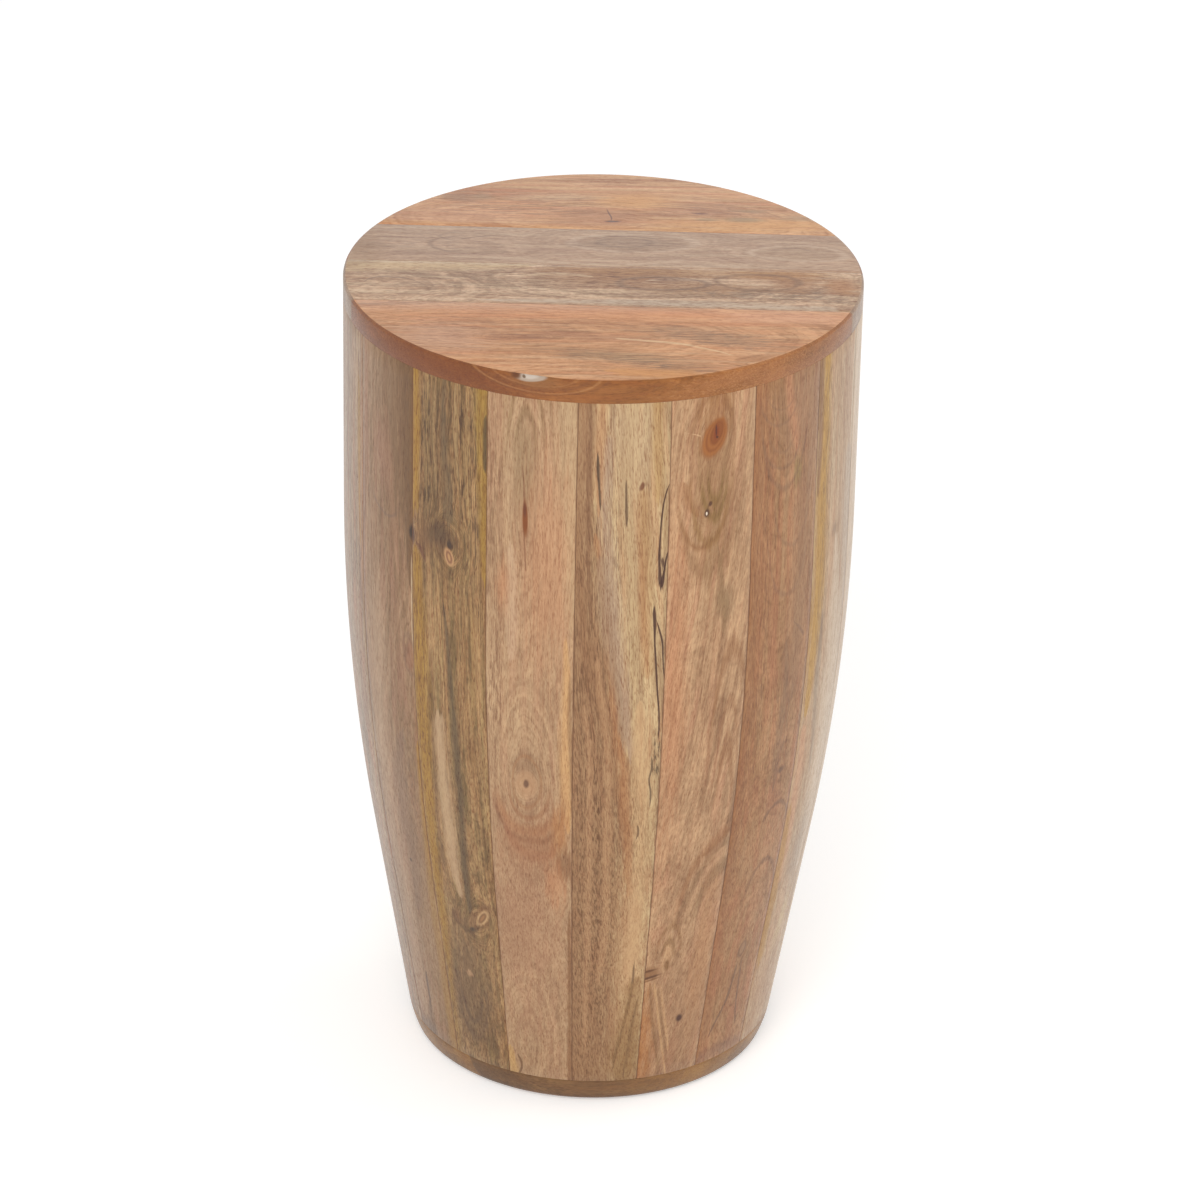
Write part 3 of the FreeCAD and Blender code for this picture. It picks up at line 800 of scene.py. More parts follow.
def mango(name, turn, seed, **character):
    """A lacquered mango-wood board. The turn takes the object's axes to the board's own."""
    given = {**PLAIN, **character}
    material = bpy.data.materials.new(name)
    material.use_nodes = True
    tree = material.node_tree
    shader = tree.nodes["Principled BSDF"]

    coordinates = add(tree, "TexCoord", out="Object")
    board = add(
        tree,
        "Mapping",
        {"Vector": coordinates, "Rotation": turn, "Scale": (1000, 1000, 1000)},
    )
    offset = add(tree, "VectorMath", (board, (0, 137.0 * seed, 0)), operation="ADD")
    slow_size = add(
        tree, "VectorMath", (offset, (1 / 30, 1 / 300, 1 / 95)), operation="MULTIPLY"
    )
    slow = add(tree, "TexNoise", {"Vector": slow_size, "Scale": 1.0, "Detail": 1.0}, out=1)
    slow = add(tree, "VectorMath", (slow, (0.5, 0.5, 0.5)), operation="SUBTRACT")
    sway = (given["wander"] * 2, 0, given["wander"] * 6)
    place = add(tree, "VectorMath", (slow, sway, board), operation="MULTIPLY_ADD")
    split = add(tree, "SeparateXYZ", (place,)).node
    parts = {
        "place": place,
        "across": split.outputs["X"],
        "along": split.outputs["Z"],
        "fray": add(
            tree,
            "Math",
            (stretched_noise(tree, add(tree, "VectorMath", (offset, (0, 31.0, 0))), 2.0, 30, 3), 0.5),
            operation="SUBTRACT",
        ),
        "depth": given["depth"],
    }

    rings = None
    for centre, stretch, tilt in given["rings"]:
        distance = oval_node(
            tree, parts, centre, (1, stretch), tilt, depth=given["through"], out="distance"
        )
        if rings is None:
            rings = distance
        else:
            rings = add(tree, "Math", (rings, distance, 4.0), operation="SMOOTH_MIN")
    rounded = add(tree, "CombineXYZ", (rings, 5.0))
    rings = add(tree, "VectorMath", (rounded,), out="Value", operation="LENGTH")
    wobble = stretched_noise(tree, offset, 12, 42, 3, 0.55)
    rings = add(tree, "Math", (wobble, given["waver"], rings), operation="MULTIPLY_ADD")

    lean = add(tree, "CombineXYZ", (add(tree, "Math", (parts["along"], given["lean"]), operation="MULTIPLY"),))
    grain = add(tree, "VectorMath", (place, lean), operation="ADD")
    for centre, half, tilt in given["knots"]:
        distance = oval_node(tree, parts, centre, half, tilt, out="distance")
        square = add(tree, "Math", (distance, distance), operation="MULTIPLY")
        bump = add(tree, "Math", (0.37, square), operation="POWER")
        rings = add(tree, "Math", (bump, -2.4 * half[0], rings), operation="MULTIPLY_ADD")
        away = add(
            tree, "VectorMath", (place, (centre[0], given["depth"], centre[1])), operation="SUBTRACT"
        )
        push = add(tree, "VectorMath", (away, (-0.6, 0, 0)), operation="MULTIPLY")
        push = add(tree, "VectorMath", {0: push, "Scale": bump}, operation="SCALE")
        grain = add(tree, "VectorMath", (grain, push), operation="ADD")
    grain = add(tree, "VectorMath", (grain, (0, 137.0 * seed, 0)), operation="ADD")

    amounts = {key: given[key] for key in ("band", "line", "streak", "blotch", "mottle", "spread")}
    figure = add(
        tree, "Group", {"Grain": grain, "rings": rings, **amounts}, node_tree=wood
    ).node
    tone = add(tree, "Clamp", (figure.outputs["tone"], 0.0, 1.0))
    colour = add(
        tree,
        "Mix",
        {0: tone, 6: linear(given["light"]), 7: linear(given["dark"])},
        out=2,
        data_type="RGBA",
    )
    if given["patch"]:
        tint, share = given["patch"]
        patches = stretched_noise(tree, grain, 15, 38, 3, 0.6)
        cover = add(
            tree, "MapRange", (patches, 0.44, 0.60, 0.0, share), interpolation_type="SMOOTHSTEP"
        )
        colour = add(
            tree, "Mix", {0: cover, 6: colour, 7: linear(tint)}, out=2, data_type="RGBA"
        )
    drift = stretched_noise(tree, grain, 5, 130, 3, 0.6)
    for start, full, tint in ((0.50, 0.66, given["blush"]), (0.50, 0.34, given["pale"])):
        cover = add(tree, "MapRange", (drift, start, full, 0.0, given["drift"]))
        colour = add(
            tree, "Mix", {0: cover, 6: colour, 7: linear(tint)}, out=2, data_type="RGBA"
        )
    dashes = stretched_noise(tree, grain, 0.8, 11, 3, 0.6)
    dashes = add(
        tree, "MapRange", (dashes, 0.47, 0.60, 0.0, 1.0), interpolation_type="SMOOTHSTEP"
    )
    rough = 1.0
    for mark in given["marks"]:
        kind, *shape, tint, strength = mark
        if kind in ("streak", "smooth", "line"):
            path, soft = shape
            mask = streak_mask(tree, parts, path, soft, 0.6 if kind == "line" else 1.6)
        elif kind in ("arch", "cup", "loop"):
            mask = arc_mask(tree, parts, kind, *shape)
        else:
            centre, half, tilt, soft = shape
            fray = 0.2 if kind == "clean" else 2.0
            mask = oval_node(tree, parts, centre, half, tilt, fray, soft)
        if kind == "flecks":
            mask = add(tree, "Math", (mask, dashes), operation="MULTIPLY")
        amount = add(tree, "Math", (mask, strength), operation="MULTIPLY")
        colour = add(
            tree, "Mix", {0: amount, 6: colour, 7: linear(tint)}, out=2, data_type="RGBA"
        )
        if kind in ("clean", "smooth"):
            calm = add(tree, "Math", (amount, -0.8, 1.0), operation="MULTIPLY_ADD")
            rough = add(tree, "Math", (calm, rough), operation="MULTIPLY")
    fibre = add(tree, "Math", (figure.outputs["fibre"], given["fibre"]), operation="MULTIPLY")
    fibre = add(tree, "Math", (fibre, rough), operation="MULTIPLY")
    colour = add(
        tree,
        "Mix",
        {0: fibre, 6: colour, 7: linear(FIBRE_TINT)},
        out=2,
        data_type="RGBA",
        blend_type="MULTIPLY",
    )
    # A stave's long edges are darkened by the dust in the joint and by painted shade.
    if given["seam"]:
        colour = seam_dust_and_shade(tree, coordinates, given["seam"], colour, parts["fray"])
    colour = add(tree, "Gamma", (colour, LACQUER_DEPTH))
    tree.links.new(colour, shader.inputs["Base Color"])

    gloss = add(tree, "MapRange", (figure.outputs["fibre"], 0.0, 1.5, 0.40, 0.58))
    tree.links.new(gloss, shader.inputs["Roughness"])
    bump = add(
        tree,
        "Bump",
        {"Strength": 0.35, "Distance": 0.00006, "Height": figure.outputs["height"]},
    )
    tree.links.new(bump, shader.inputs["Normal"])
    shader.inputs["IOR"].default_value = 1.34
    shader.inputs["Coat Weight"].default_value = 0.6
    shader.inputs["Coat Roughness"].default_value = 0.26
    shader.inputs["Coat IOR"].default_value = 1.5
    return material


def seam_dust_and_shade(tree, coordinates, turn, colour, fray):
    """Darkens a stave's two long edges: glue and sanding dust lie in the joint, and painted shade stands for the narrow
    groove where two staves meet.
    """
    board = add(
        tree,
        "Mapping",
        {"Vector": coordinates, "Rotation": turn, "Scale": (1000, 1000, 1000)},
    )
    split = add(tree, "SeparateXYZ", (board,)).node
    across = add(tree, "Math", (split.outputs["X"],), operation="ABSOLUTE")
    edge = add(
        tree, "Math", (split.outputs["Y"], -math.sin(half_angle)), operation="MULTIPLY"
    )
    edge = add(
        tree, "Math", (across, -math.cos(half_angle), edge), operation="MULTIPLY_ADD"
    )
    edge = add(tree, "Math", (fray, 1.6, edge), operation="MULTIPLY_ADD")
    # Painted shade and dust: a dark band within about 0.7 mm of each long edge.
    dust_and_shade = add(
        tree, "MapRange", (edge, 0.15, 0.7, 0.6, 0.0), interpolation_type="SMOOTHSTEP"
    )
    return add(
        tree,
        "Mix",
        {0: dust_and_shade, 6: colour, 7: linear("#6e4424")},
        out=2,
        data_type="RGBA",
    )

# %% [markdown]
# ## The staves, board by board
#
# Real staves are sawn from many logs, and that is the charm of such a drum: a
# smooth pinkish board stands beside an olive one with ochre edges, and the next
# has black lines. So each stave gets a character of its own. Places are written
# as (across, along): across from the stave's middle, positive to the right, and
# along from the floor, in millimetres. A tilt leans a mark to the right going up.

# %% The staves at the front
INK = "#4a2000"
OCHRE = "#b0872c"
CREAM = "#d2b386"
SLATE = "#6a5a48"

STAVE_WOOD = {}
STAVE_WOOD["stave_16"] = dict(
    light="#b28f6e",
    dark="#85653e",
    rings=[((-4, 385), 9, 4), ((8, 150), 16, 6)],
    pale="#b89e82",
    blush="#a97a60",
    band=0.5,
    line=0.35,
    streak=0.5,
    blotch=0.6,
    mottle=0.35,
    spread=6,
    fibre=0.36,
    knots=[((27, 386), (7, 12), 0)],
    marks=[
        ("streak", [(510, 22, 6), (440, 23, 5), (390, 23, 3), (345, 25.5, 1.5)], 0.6, "#76532c", 0.85),
        ("flecks", (20, 440), (7, 70), 0, 0.5, "#5d452c", 0.5),
        ("streak", [(250, 24, 1.5), (180, 22.5, 2.5), (120, 19, 2.5), (60, 17.5, 3), (5, 17, 3)], 0.7, OCHRE, 0.55),
        ("line", [(372, 25.5, 0.6), (300, 26, 0.7), (240, 25, 0.5)], 0.5, "#d6bf9f", 0.7),
        ("streak", [(460, 2, 1.4), (432, 6, 2.2), (402, 8.5, 2.0), (350, 15, 1.2)], 0.9, "#b98f70", 0.65),
        ("streak", [(440, -6, 0.8), (405, -3, 1.2), (380, 0, 0.8)], 0.9, "#b39074", 0.45),
        ("oval", (12, 455), (18, 75), 0, 0.9, "#80603c", 0.7),
        ("oval", (-14, 250), (12, 70), 0, 0.9, "#bda081", 0.5),
        ("oval", (12, 110), (12, 110), 0, 0.9, "#a2835f", 0.5),
        ("oval", (-14, 100), (9, 90), 0, 0.9, "#bfa284", 0.45),
        ("oval", (-1, 426), (7, 20), -8, 0.7, "#a87d62", 0.5),
        ("cup", (0, 400), (13, 14), 0.8, 0.8, "#7f6350", 0.5),
        ("oval", (22, 305), (4.0, 9), 12, 0.4, "#9d7152", 0.75),
        ("loop", (22, 305), (5.0, 11), 0.8, 0.8, "#8a6a50", 0.5),
        ("oval", (19.5, 306), (1.0, 9), 12, 0.5, "#8b6a4e", 0.6),
        ("clean", (26.5, 386), (2.6, 4.6), 0, 0.5, "#2f2118", 0.95),
        ("streak", [(250, 13, 1.5), (225, 5, 5), (195, 3, 7), (150, 6, 6), (110, 3, 4)], 0.8, "#8a6c54", 0.55),
        ("flecks", (14, 205), (7, 45), 0, 0.6, "#6e5440", 0.4),
        ("clean", (3, 149), (1.0, 1.2), 0, 0.5, "#5a4230", 0.9),
        ("streak", [(66, -2, 0.6), (55, -2.5, 1.2), (38, -3.5, 0.8)], 0.8, "#6a5140", 0.75),
        ("streak", [(44, -4, 1.2), (30, -5, 3), (10, -5, 4)], 0.9, "#75593f", 0.6),
        ("oval", (-13, 18), (8, 8), 0, 0.7, "#75593f", 0.6),
    ],
)
STAVE_WOOD["stave_17"] = dict(
    light="#bb976a",
    dark="#775c34",
    rings=[((5, 300), 40, -2), ((-3, 85), 4.2, 3)],
    drift=0.35,
    pale="#a4905e",
    blush="#9a7040",
    band=0.5,
    line=0.35,
    streak=1.0,
    blotch=0.5,
    mottle=0.4,
    spread=3.4,
    fibre=0.55,
    wander=3.0,
    waver=4.0,
    knots=[((0, 388), (11, 13), 0), ((9, 124), (9, 11), 20), ((-27, 384), (6, 9), 0)],
    marks=[
        ("oval", (-8, 440), (12, 60), 0, 0.9, "#75593a", 0.4),
        ("flecks", (-14, 435), (9, 60), 0, 0.6, "#503616", 0.75),
        ("flecks", (4, 450), (8, 50), 0, 0.6, "#53391a", 0.65),
        ("flecks", (16, 430), (8, 70), 0, 0.5, "#4f3418", 0.7),
        ("streak", [(510, -25.5, 3.5), (430, -25.5, 4), (405, -26, 3), (394, -27, 2)], 0.6, OCHRE, 0.8),
        ("streak", [(384, -25, 2), (330, -23, 6), (250, -22, 7), (190, -21, 6), (130, -21, 5), (60, -21, 4), (5, -20, 3)], 0.7, OCHRE, 0.75),
        ("flecks", (-21, 300), (6, 80), 0, 0.5, "#7c5527", 0.55),
        ("streak", [(510, 24, 5), (450, 23.5, 4.5), (405, 24.5, 3), (365, 25.5, 1.5)], 0.8, "#ad8834", 0.65),
        ("streak", [(480, 24.5, 1.0), (455, 24.6, 1.6), (440, 24.8, 0.8)], 0.9, "#4c3a26", 0.75),
        ("streak", [(505, -2, 1.6), (460, -3, 2.2), (430, -1, 3), (398, 0, 4)], 0.9, "#6f6048", 0.5),
        ("smooth", [(277, -8, 2.5), (266, -7.5, 4.4), (230, -6, 4.6), (190, -4, 4.2), (160, -2.5, 3.2), (136, -1, 1.0)], 0.9, "#c3a583", 0.8),
        ("streak", [(505, 6, 0.8), (470, 5, 1.2), (430, 7, 0.8)], 0.9, "#b99c70", 0.6),
        ("streak", [(490, -9, 0.6), (450, -10, 1.0), (415, -8, 0.6)], 0.9, "#ad9066", 0.6),
        ("streak", [(500, 14, 0.8), (455, 12, 1.2), (402, 14, 0.8)], 0.9, "#bc9c6c", 0.55),
        ("streak", [(360, 16, 0.8), (320, 17, 1.4), (270, 16, 0.8)], 0.9, "#b3905f", 0.5),
        ("streak", [(350, -3, 0.8), (310, 1, 1.4), (270, 4, 2.2), (220, 5, 2.2), (170, 4, 2.2), (128, 4, 1.5)], 0.8, "#66543a", 0.75),
        ("streak", [(260, -13, 0.8), (220, -13, 1.2), (160, -11, 1.0)], 0.8, "#8a6a44", 0.6),
        ("oval", (-13, 388), (15, 9), 0, 0.8, "#85613f", 0.65),
        ("oval", (-3, 389), (7, 8), 0, 0.7, "#75583b", 0.5),
        ("oval", (-6, 391), (8, 6.5), -10, 0.8, "#5f4a30", 0.6),
        ("arch", (-5, 382), (9, 15), 1.4, 0.9, "#6b5030", 0.4),
        ("oval", (1.5, 387), (2.4, 3.4), 10, 0.5, "#442d1d", 0.9),
        ("clean", (1.2, 379), (3.6, 5.6), -14, 0.25, "#c59b70", 0.85),
        ("clean", (1.2, 379), (2.3, 4.0), -14, 0.3, "#80543a", 0.9),
        ("clean", (1.2, 379), (1.1, 2.4), -14, 0.5, "#c19769", 0.8),
        ("cup", (-3, 376), (7, 11), 0.9, 0.9, "#7a5a36", 0.45),
        ("oval", (-27, 386), (3.5, 4.5), 0, 0.5, "#5f3a24", 0.9),
        ("streak", [(384, -25, 1.0), (379, -21, 1.4), (371, -17, 0.8)], 0.7, "#74482e", 0.7),
        ("streak", [(142, 20, 3), (133, 15, 5), (124, 9, 7), (115, 2, 5)], 0.7, "#86603f", 0.6),
        ("cup", (1, 131), (11, 14), 1.1, 0.9, "#5c4226", 0.6),
        ("clean", (12.5, 127.5), (3.3, 6.8), 35, 0.3, "#d0ad80", 0.8),
        ("clean", (12.5, 127.5), (2.0, 4.9), 35, 0.3, "#805a38", 0.9),
        ("clean", (12.5, 127.5), (0.9, 2.8), 35, 0.5, "#a57a50", 0.8),
        ("clean", (4, 119), (1.8, 1.4), 0, 0.6, "#2e1d11", 0.9),
        ("oval", (-7, 125), (4, 5), 0, 0.7, "#8d6542", 0.6),
        ("oval", (-3, 72), (16, 44), 0, 0.8, "#7f6547", 0.7),
        ("cup", (-3, 80), (8.5, 31), 0.8, 0.7, "#6b523b", 0.65),
        ("cup", (-3, 88), (13, 52), 0.8, 0.8, "#7a6047", 0.5),
        ("oval", (-3, 84), (2.4, 2.0), 0, 0.5, "#c4a07a", 0.7),
        ("flecks", (-2, 45), (18, 36), 0, 0.6, "#66492c", 0.35),
    ],
)
STAVE_WOOD["stave_18"] = dict(
    light="#c7a681",
    dark="#9e7c5c",
    rings=[((-3, 432), 5.0, 2), ((-1, 240), 3.4, 0), ((-7, 42), 3.2, 0)],
    drift=0.24,
    pale="#ccb08c",
    blush="#bd8e70",
    band=0.45,
    line=0.3,
    streak=0.4,
    blotch=0.5,
    mottle=0.5,
    spread=5.6,
    fibre=0.36,
    waver=4.0,
    wander=2.0,
    knots=[((-1, 238), (8, 11), 0), ((-2.3, 414), (3, 16), 0)],
    marks=[
        ("streak", [(510, 20, 7), (470, 21, 7), (430, 22, 5), (390, 24, 4), (340, 25, 1)], 0.8, "#c4a882", 0.6),
        ("oval", (-3, 446), (5, 24), 0, 0.8, "#b09670", 0.6),
        ("arch", (-3, 448), (6.5, 32), 0.7, 0.8, "#8b6c45", 0.6),
        ("arch", (-3, 440), (12, 62), 0.8, 0.8, "#8f7048", 0.55),
        ("arch", (-2, 436), (16, 90), 0.8, 0.9, "#9a7a55", 0.45),
        ("oval", (-4, 449), (7, 24), 0, 0.7, "#9d8160", 0.55),
        ("oval", (10, 385), (13, 60), 0, 0.8, "#c28e68", 0.5),
        ("oval", (-16, 370), (5, 14), 0, 0.9, "#c08a62", 0.6),
        ("flecks", (-22, 410), (5, 60), 0, 0.6, "#7f6040", 0.5),
        ("streak", [(400, -12, 2), (365, -11, 3), (320, -11, 2)], 0.8, "#c8a98a", 0.6),
        ("line", [(450, -5, 0.3), (430, -3, 0.6), (405, -3.4, 0.5), (388, -3, 0.4), (379, -2, 0.3)], 0.7, "#8b6040", 0.7),
        ("clean", (-2.6, 415.5), (1.6, 10.5), 0, 0.4, "#844600", 0.95),
        ("clean", (-2.8, 421), (0.9, 4.2), 0, 0.6, "#64300c", 0.7),
        ("streak", [(340, 22, 1), (290, 22.5, 2.5), (240, 22, 3.5), (205, 22, 2)], 0.8, "#d4a871", 0.6),
        ("streak", [(312, 24.5, 0.6), (285, 25, 1.0), (240, 25.5, 1.0), (200, 25, 0.6)], 0.8, "#83603f", 0.5),
        ("flecks", (-21, 300), (4, 50), 0, 0.5, "#80593a", 0.6),
        ("oval", (-1, 252), (9, 9), 0, 0.7, "#9a7b5c", 0.6),
        ("loop", (-1, 240), (8.5, 19), 0.7, 0.8, "#a47851", 0.5),
        ("cup", (0, 240), (12.5, 27), 0.8, 0.8, "#9c6d48", 0.6),
        ("clean", (-1, 239), (6.0, 9.5), 0, 0.3, "#bb9570", 0.6),
        ("clean", (-1, 239), (1.5, 2.9), 0, 0.4, "#6f4d37", 0.9),
        ("cup", (-1, 236), (20, 33), 2.4, 0.9, "#a9744a", 0.6),
        ("cup", (-1, 232), (22, 36), 1.2, 0.8, "#8a5d3e", 0.7),
        ("cup", (2, 224), (19, 38), 1.6, 0.9, "#a97350", 0.6),
        ("oval", (17, 205), (4, 15), 6, 0.8, "#bb8650", 0.6),
        ("oval", (1, 192), (15, 13), 0, 0.9, "#a2714a", 0.6),
        ("flecks", (0, 170), (16, 34), 0, 0.8, "#8c6142", 0.5),
        ("oval", (-4, 140), (18, 60), 0, 0.9, "#b08768", 0.5),
        ("oval", (19, 183), (4.5, 12), 0, 0.6, "#855a34", 0.65),
        ("oval", (-12, 125), (9, 22), 0, 0.8, "#a98363", 0.5),
        ("oval", (14, 168), (5, 16), 0, 0.8, "#c08960", 0.5),
        ("arch", (-5, 32), (9.5, 37), 0.7, 0.7, "#a27a5b", 0.55),
        ("streak", [(150, 21.5, 0.8), (90, 20, 1.2), (5, 18.5, 1.2)], 0.7, "#8a6038", 0.7),
        ("streak", [(40, -20, 2), (25, -18.5, 3), (5, -18, 4)], 0.7, "#caa468", 0.7),
        ("streak", [(33, -15, 0.5), (26, -12, 0.9), (18, -14, 0.5)], 0.5, "#75502e", 0.7),
    ],
)
STAVE_WOOD["stave_01"] = dict(
    light="#d5ba90",
    dark="#ac8d68",
    rings=[((44, 300), 16, 0)],
    pale="#ccb488",
    blush="#b88055",
    band=0.5,
    line=0.3,
    streak=1.3,
    blotch=0.6,
    mottle=0.3,
    spread=3.6,
    fibre=0.45,
    wander=3.0,
    waver=5.0,
    lean=0.07,
    knots=[((22, 378), (5, 9), 0)],
    marks=[
        ("oval", (2, 470), (14, 34), 0, 0.8, "#bfa486", 0.5),
        ("streak", [(520, -30, 14), (430, -31, 17), (385, -31, 17), (350, -28, 20), (300, -25, 24), (230, -21, 28), (150, -19, 29), (80, -19, 28), (5, -17, 24)], 0.6, "#9d7652", 0.8),
        ("flecks", (-14, 330), (14, 130), 3, 0.6, "#6a431c", 0.65),
        ("flecks", (-8, 160), (15, 120), 3, 0.6, "#694219", 0.65),
        ("streak", [(500, -20, 1.2), (450, -19, 1.6), (400, -20, 1.2), (350, -17, 1.0)], 0.8, "#8a6341", 0.6),
        ("streak", [(430, -27, 2), (385, -26, 3), (340, -20, 3), (290, -10, 3), (240, 1, 3), (180, 8, 2)], 0.9, "#956c46", 0.45),
        ("streak", [(410, -16, 1.5), (350, -7, 2.5), (290, -1, 3), (230, 6, 3), (160, 9, 2)], 0.9, "#b0794a", 0.6),
        ("streak", [(470, -9, 2), (410, -9, 4), (360, -4, 4.5), (310, 2, 4), (260, 8, 2)], 0.9, "#b59a82", 0.65),
        ("smooth", [(300, 12, 3), (260, 14, 5), (200, 16, 5), (140, 15, 5), (90, 13, 3)], 0.9, "#cfab80", 0.6),
        ("oval", (14, 40), (7, 30), 8, 0.8, "#937749", 0.6),
        ("streak", [(330, -14, 1.5), (260, -6, 2.4), (180, -4, 2.4), (90, -6, 1.6)], 0.9, "#c39c74", 0.5),
        ("streak", [(300, -20, 1.0), (220, -15, 1.6), (120, -14, 1.6), (40, -13, 1.0)], 0.9, "#c19a73", 0.5),
        ("streak", [(400, -12, 3), (350, -8, 4), (320, -3, 3), (270, 3, 2)], 0.8, "#a68c70", 0.6),
        ("streak", [(505, 5, 5), (440, 3, 6), (390, 6, 4), (340, 9, 3)], 0.8, "#c3a780", 0.6),
        ("streak", [(505, -12, 2.5), (460, -13, 3), (420, -14, 2)], 0.8, "#c19468", 0.6),
        ("streak", [(440, 11, 2), (390, 13, 3), (350, 14.5, 3), (310, 17, 2)], 0.95, "#bb8d58", 0.4),
        ("streak", [(510, 18, 3), (460, 18.5, 3), (420, 19, 2)], 0.8, "#ba935c", 0.6),
        ("streak", [(460, -14.6, 0.4), (452, -14.2, 0.9), (440, -13.4, 0.7), (420, -12.6, 0.4)], 0.7, "#4f3a24", 0.85),
        ("streak", [(447, 1.4, 0.4), (430, 2, 0.9), (410, 2.8, 0.4)], 0.7, "#65492d", 0.8),
        ("oval", (10.8, 438), (1.3, 2.2), 20, 0.5, "#7b4a2c", 0.85),
        ("line", [(441.5, 27.2, 0.35), (438, 25.4, 0.45), (430, 22.8, 0.4), (418, 21.3, 0.5), (404, 20.8, 0.5), (394, 20.6, 0.8), (385, 21.2, 0.9), (378, 22.2, 1.3), (371, 22.2, 0.4)], 0.4, INK, 0.92),
        ("flecks", (22, 384), (2.4, 12), 0, 0.4, INK, 0.85),
        ("line", [(400, 27.0, 0.4), (394, 25.4, 0.5), (386, 24.2, 0.6), (379, 23.4, 1.0), (373, 23.2, 0.4)], 0.4, INK, 0.92),
        ("line", [(367, 18.6, 0.4), (362, 18.6, 0.9), (352, 19.2, 0.8), (340, 19.6, 0.45), (326, 20.6, 0.55), (306, 22.0, 0.5), (288, 23.8, 0.5), (268, 24.6, 0.4)], 0.4, INK, 0.92),
        ("line", [(356, 19.8, 0.35), (346, 22.2, 0.5), (337, 24.0, 0.55), (325, 24.8, 0.4), (308, 26.4, 0.35)], 0.4, INK, 0.9),
        ("flecks", (24, 262), (2.2, 16), 0, 0.5, "#4b3520", 0.8),
        ("line", [(262, 20.5, 0.4), (252, 21.5, 0.6), (244, 20.3, 0.5), (234, 21.6, 0.6), (222, 21, 0.4)], 0.5, "#5f452b", 0.75),
        ("line", [(212, 13.5, 0.4), (206, 14.5, 0.7), (200, 13, 0.4)], 0.5, "#5f452b", 0.75),
        ("flecks", (14, 200), (7, 40), -4, 0.6, "#8a6540", 0.5),
        ("oval", (11, 110), (9, 60), -3, 0.8, "#c9a379", 0.5),
        ("streak", [(112, 16, 0.4), (85, 14, 0.9), (60, 10, 0.9), (40, 6, 0.8), (24, 4, 0.4)], 0.7, "#6d4f2d", 0.75),
        ("streak", [(84, 19, 0.5), (60, 15, 0.9), (40, 13, 1.0), (18, 10, 0.6)], 0.7, "#65482a", 0.75),
        ("streak", [(100, 17, 4), (50, 12, 7), (5, 11, 8)], 0.8, "#a07c4e", 0.65),
    ],
)
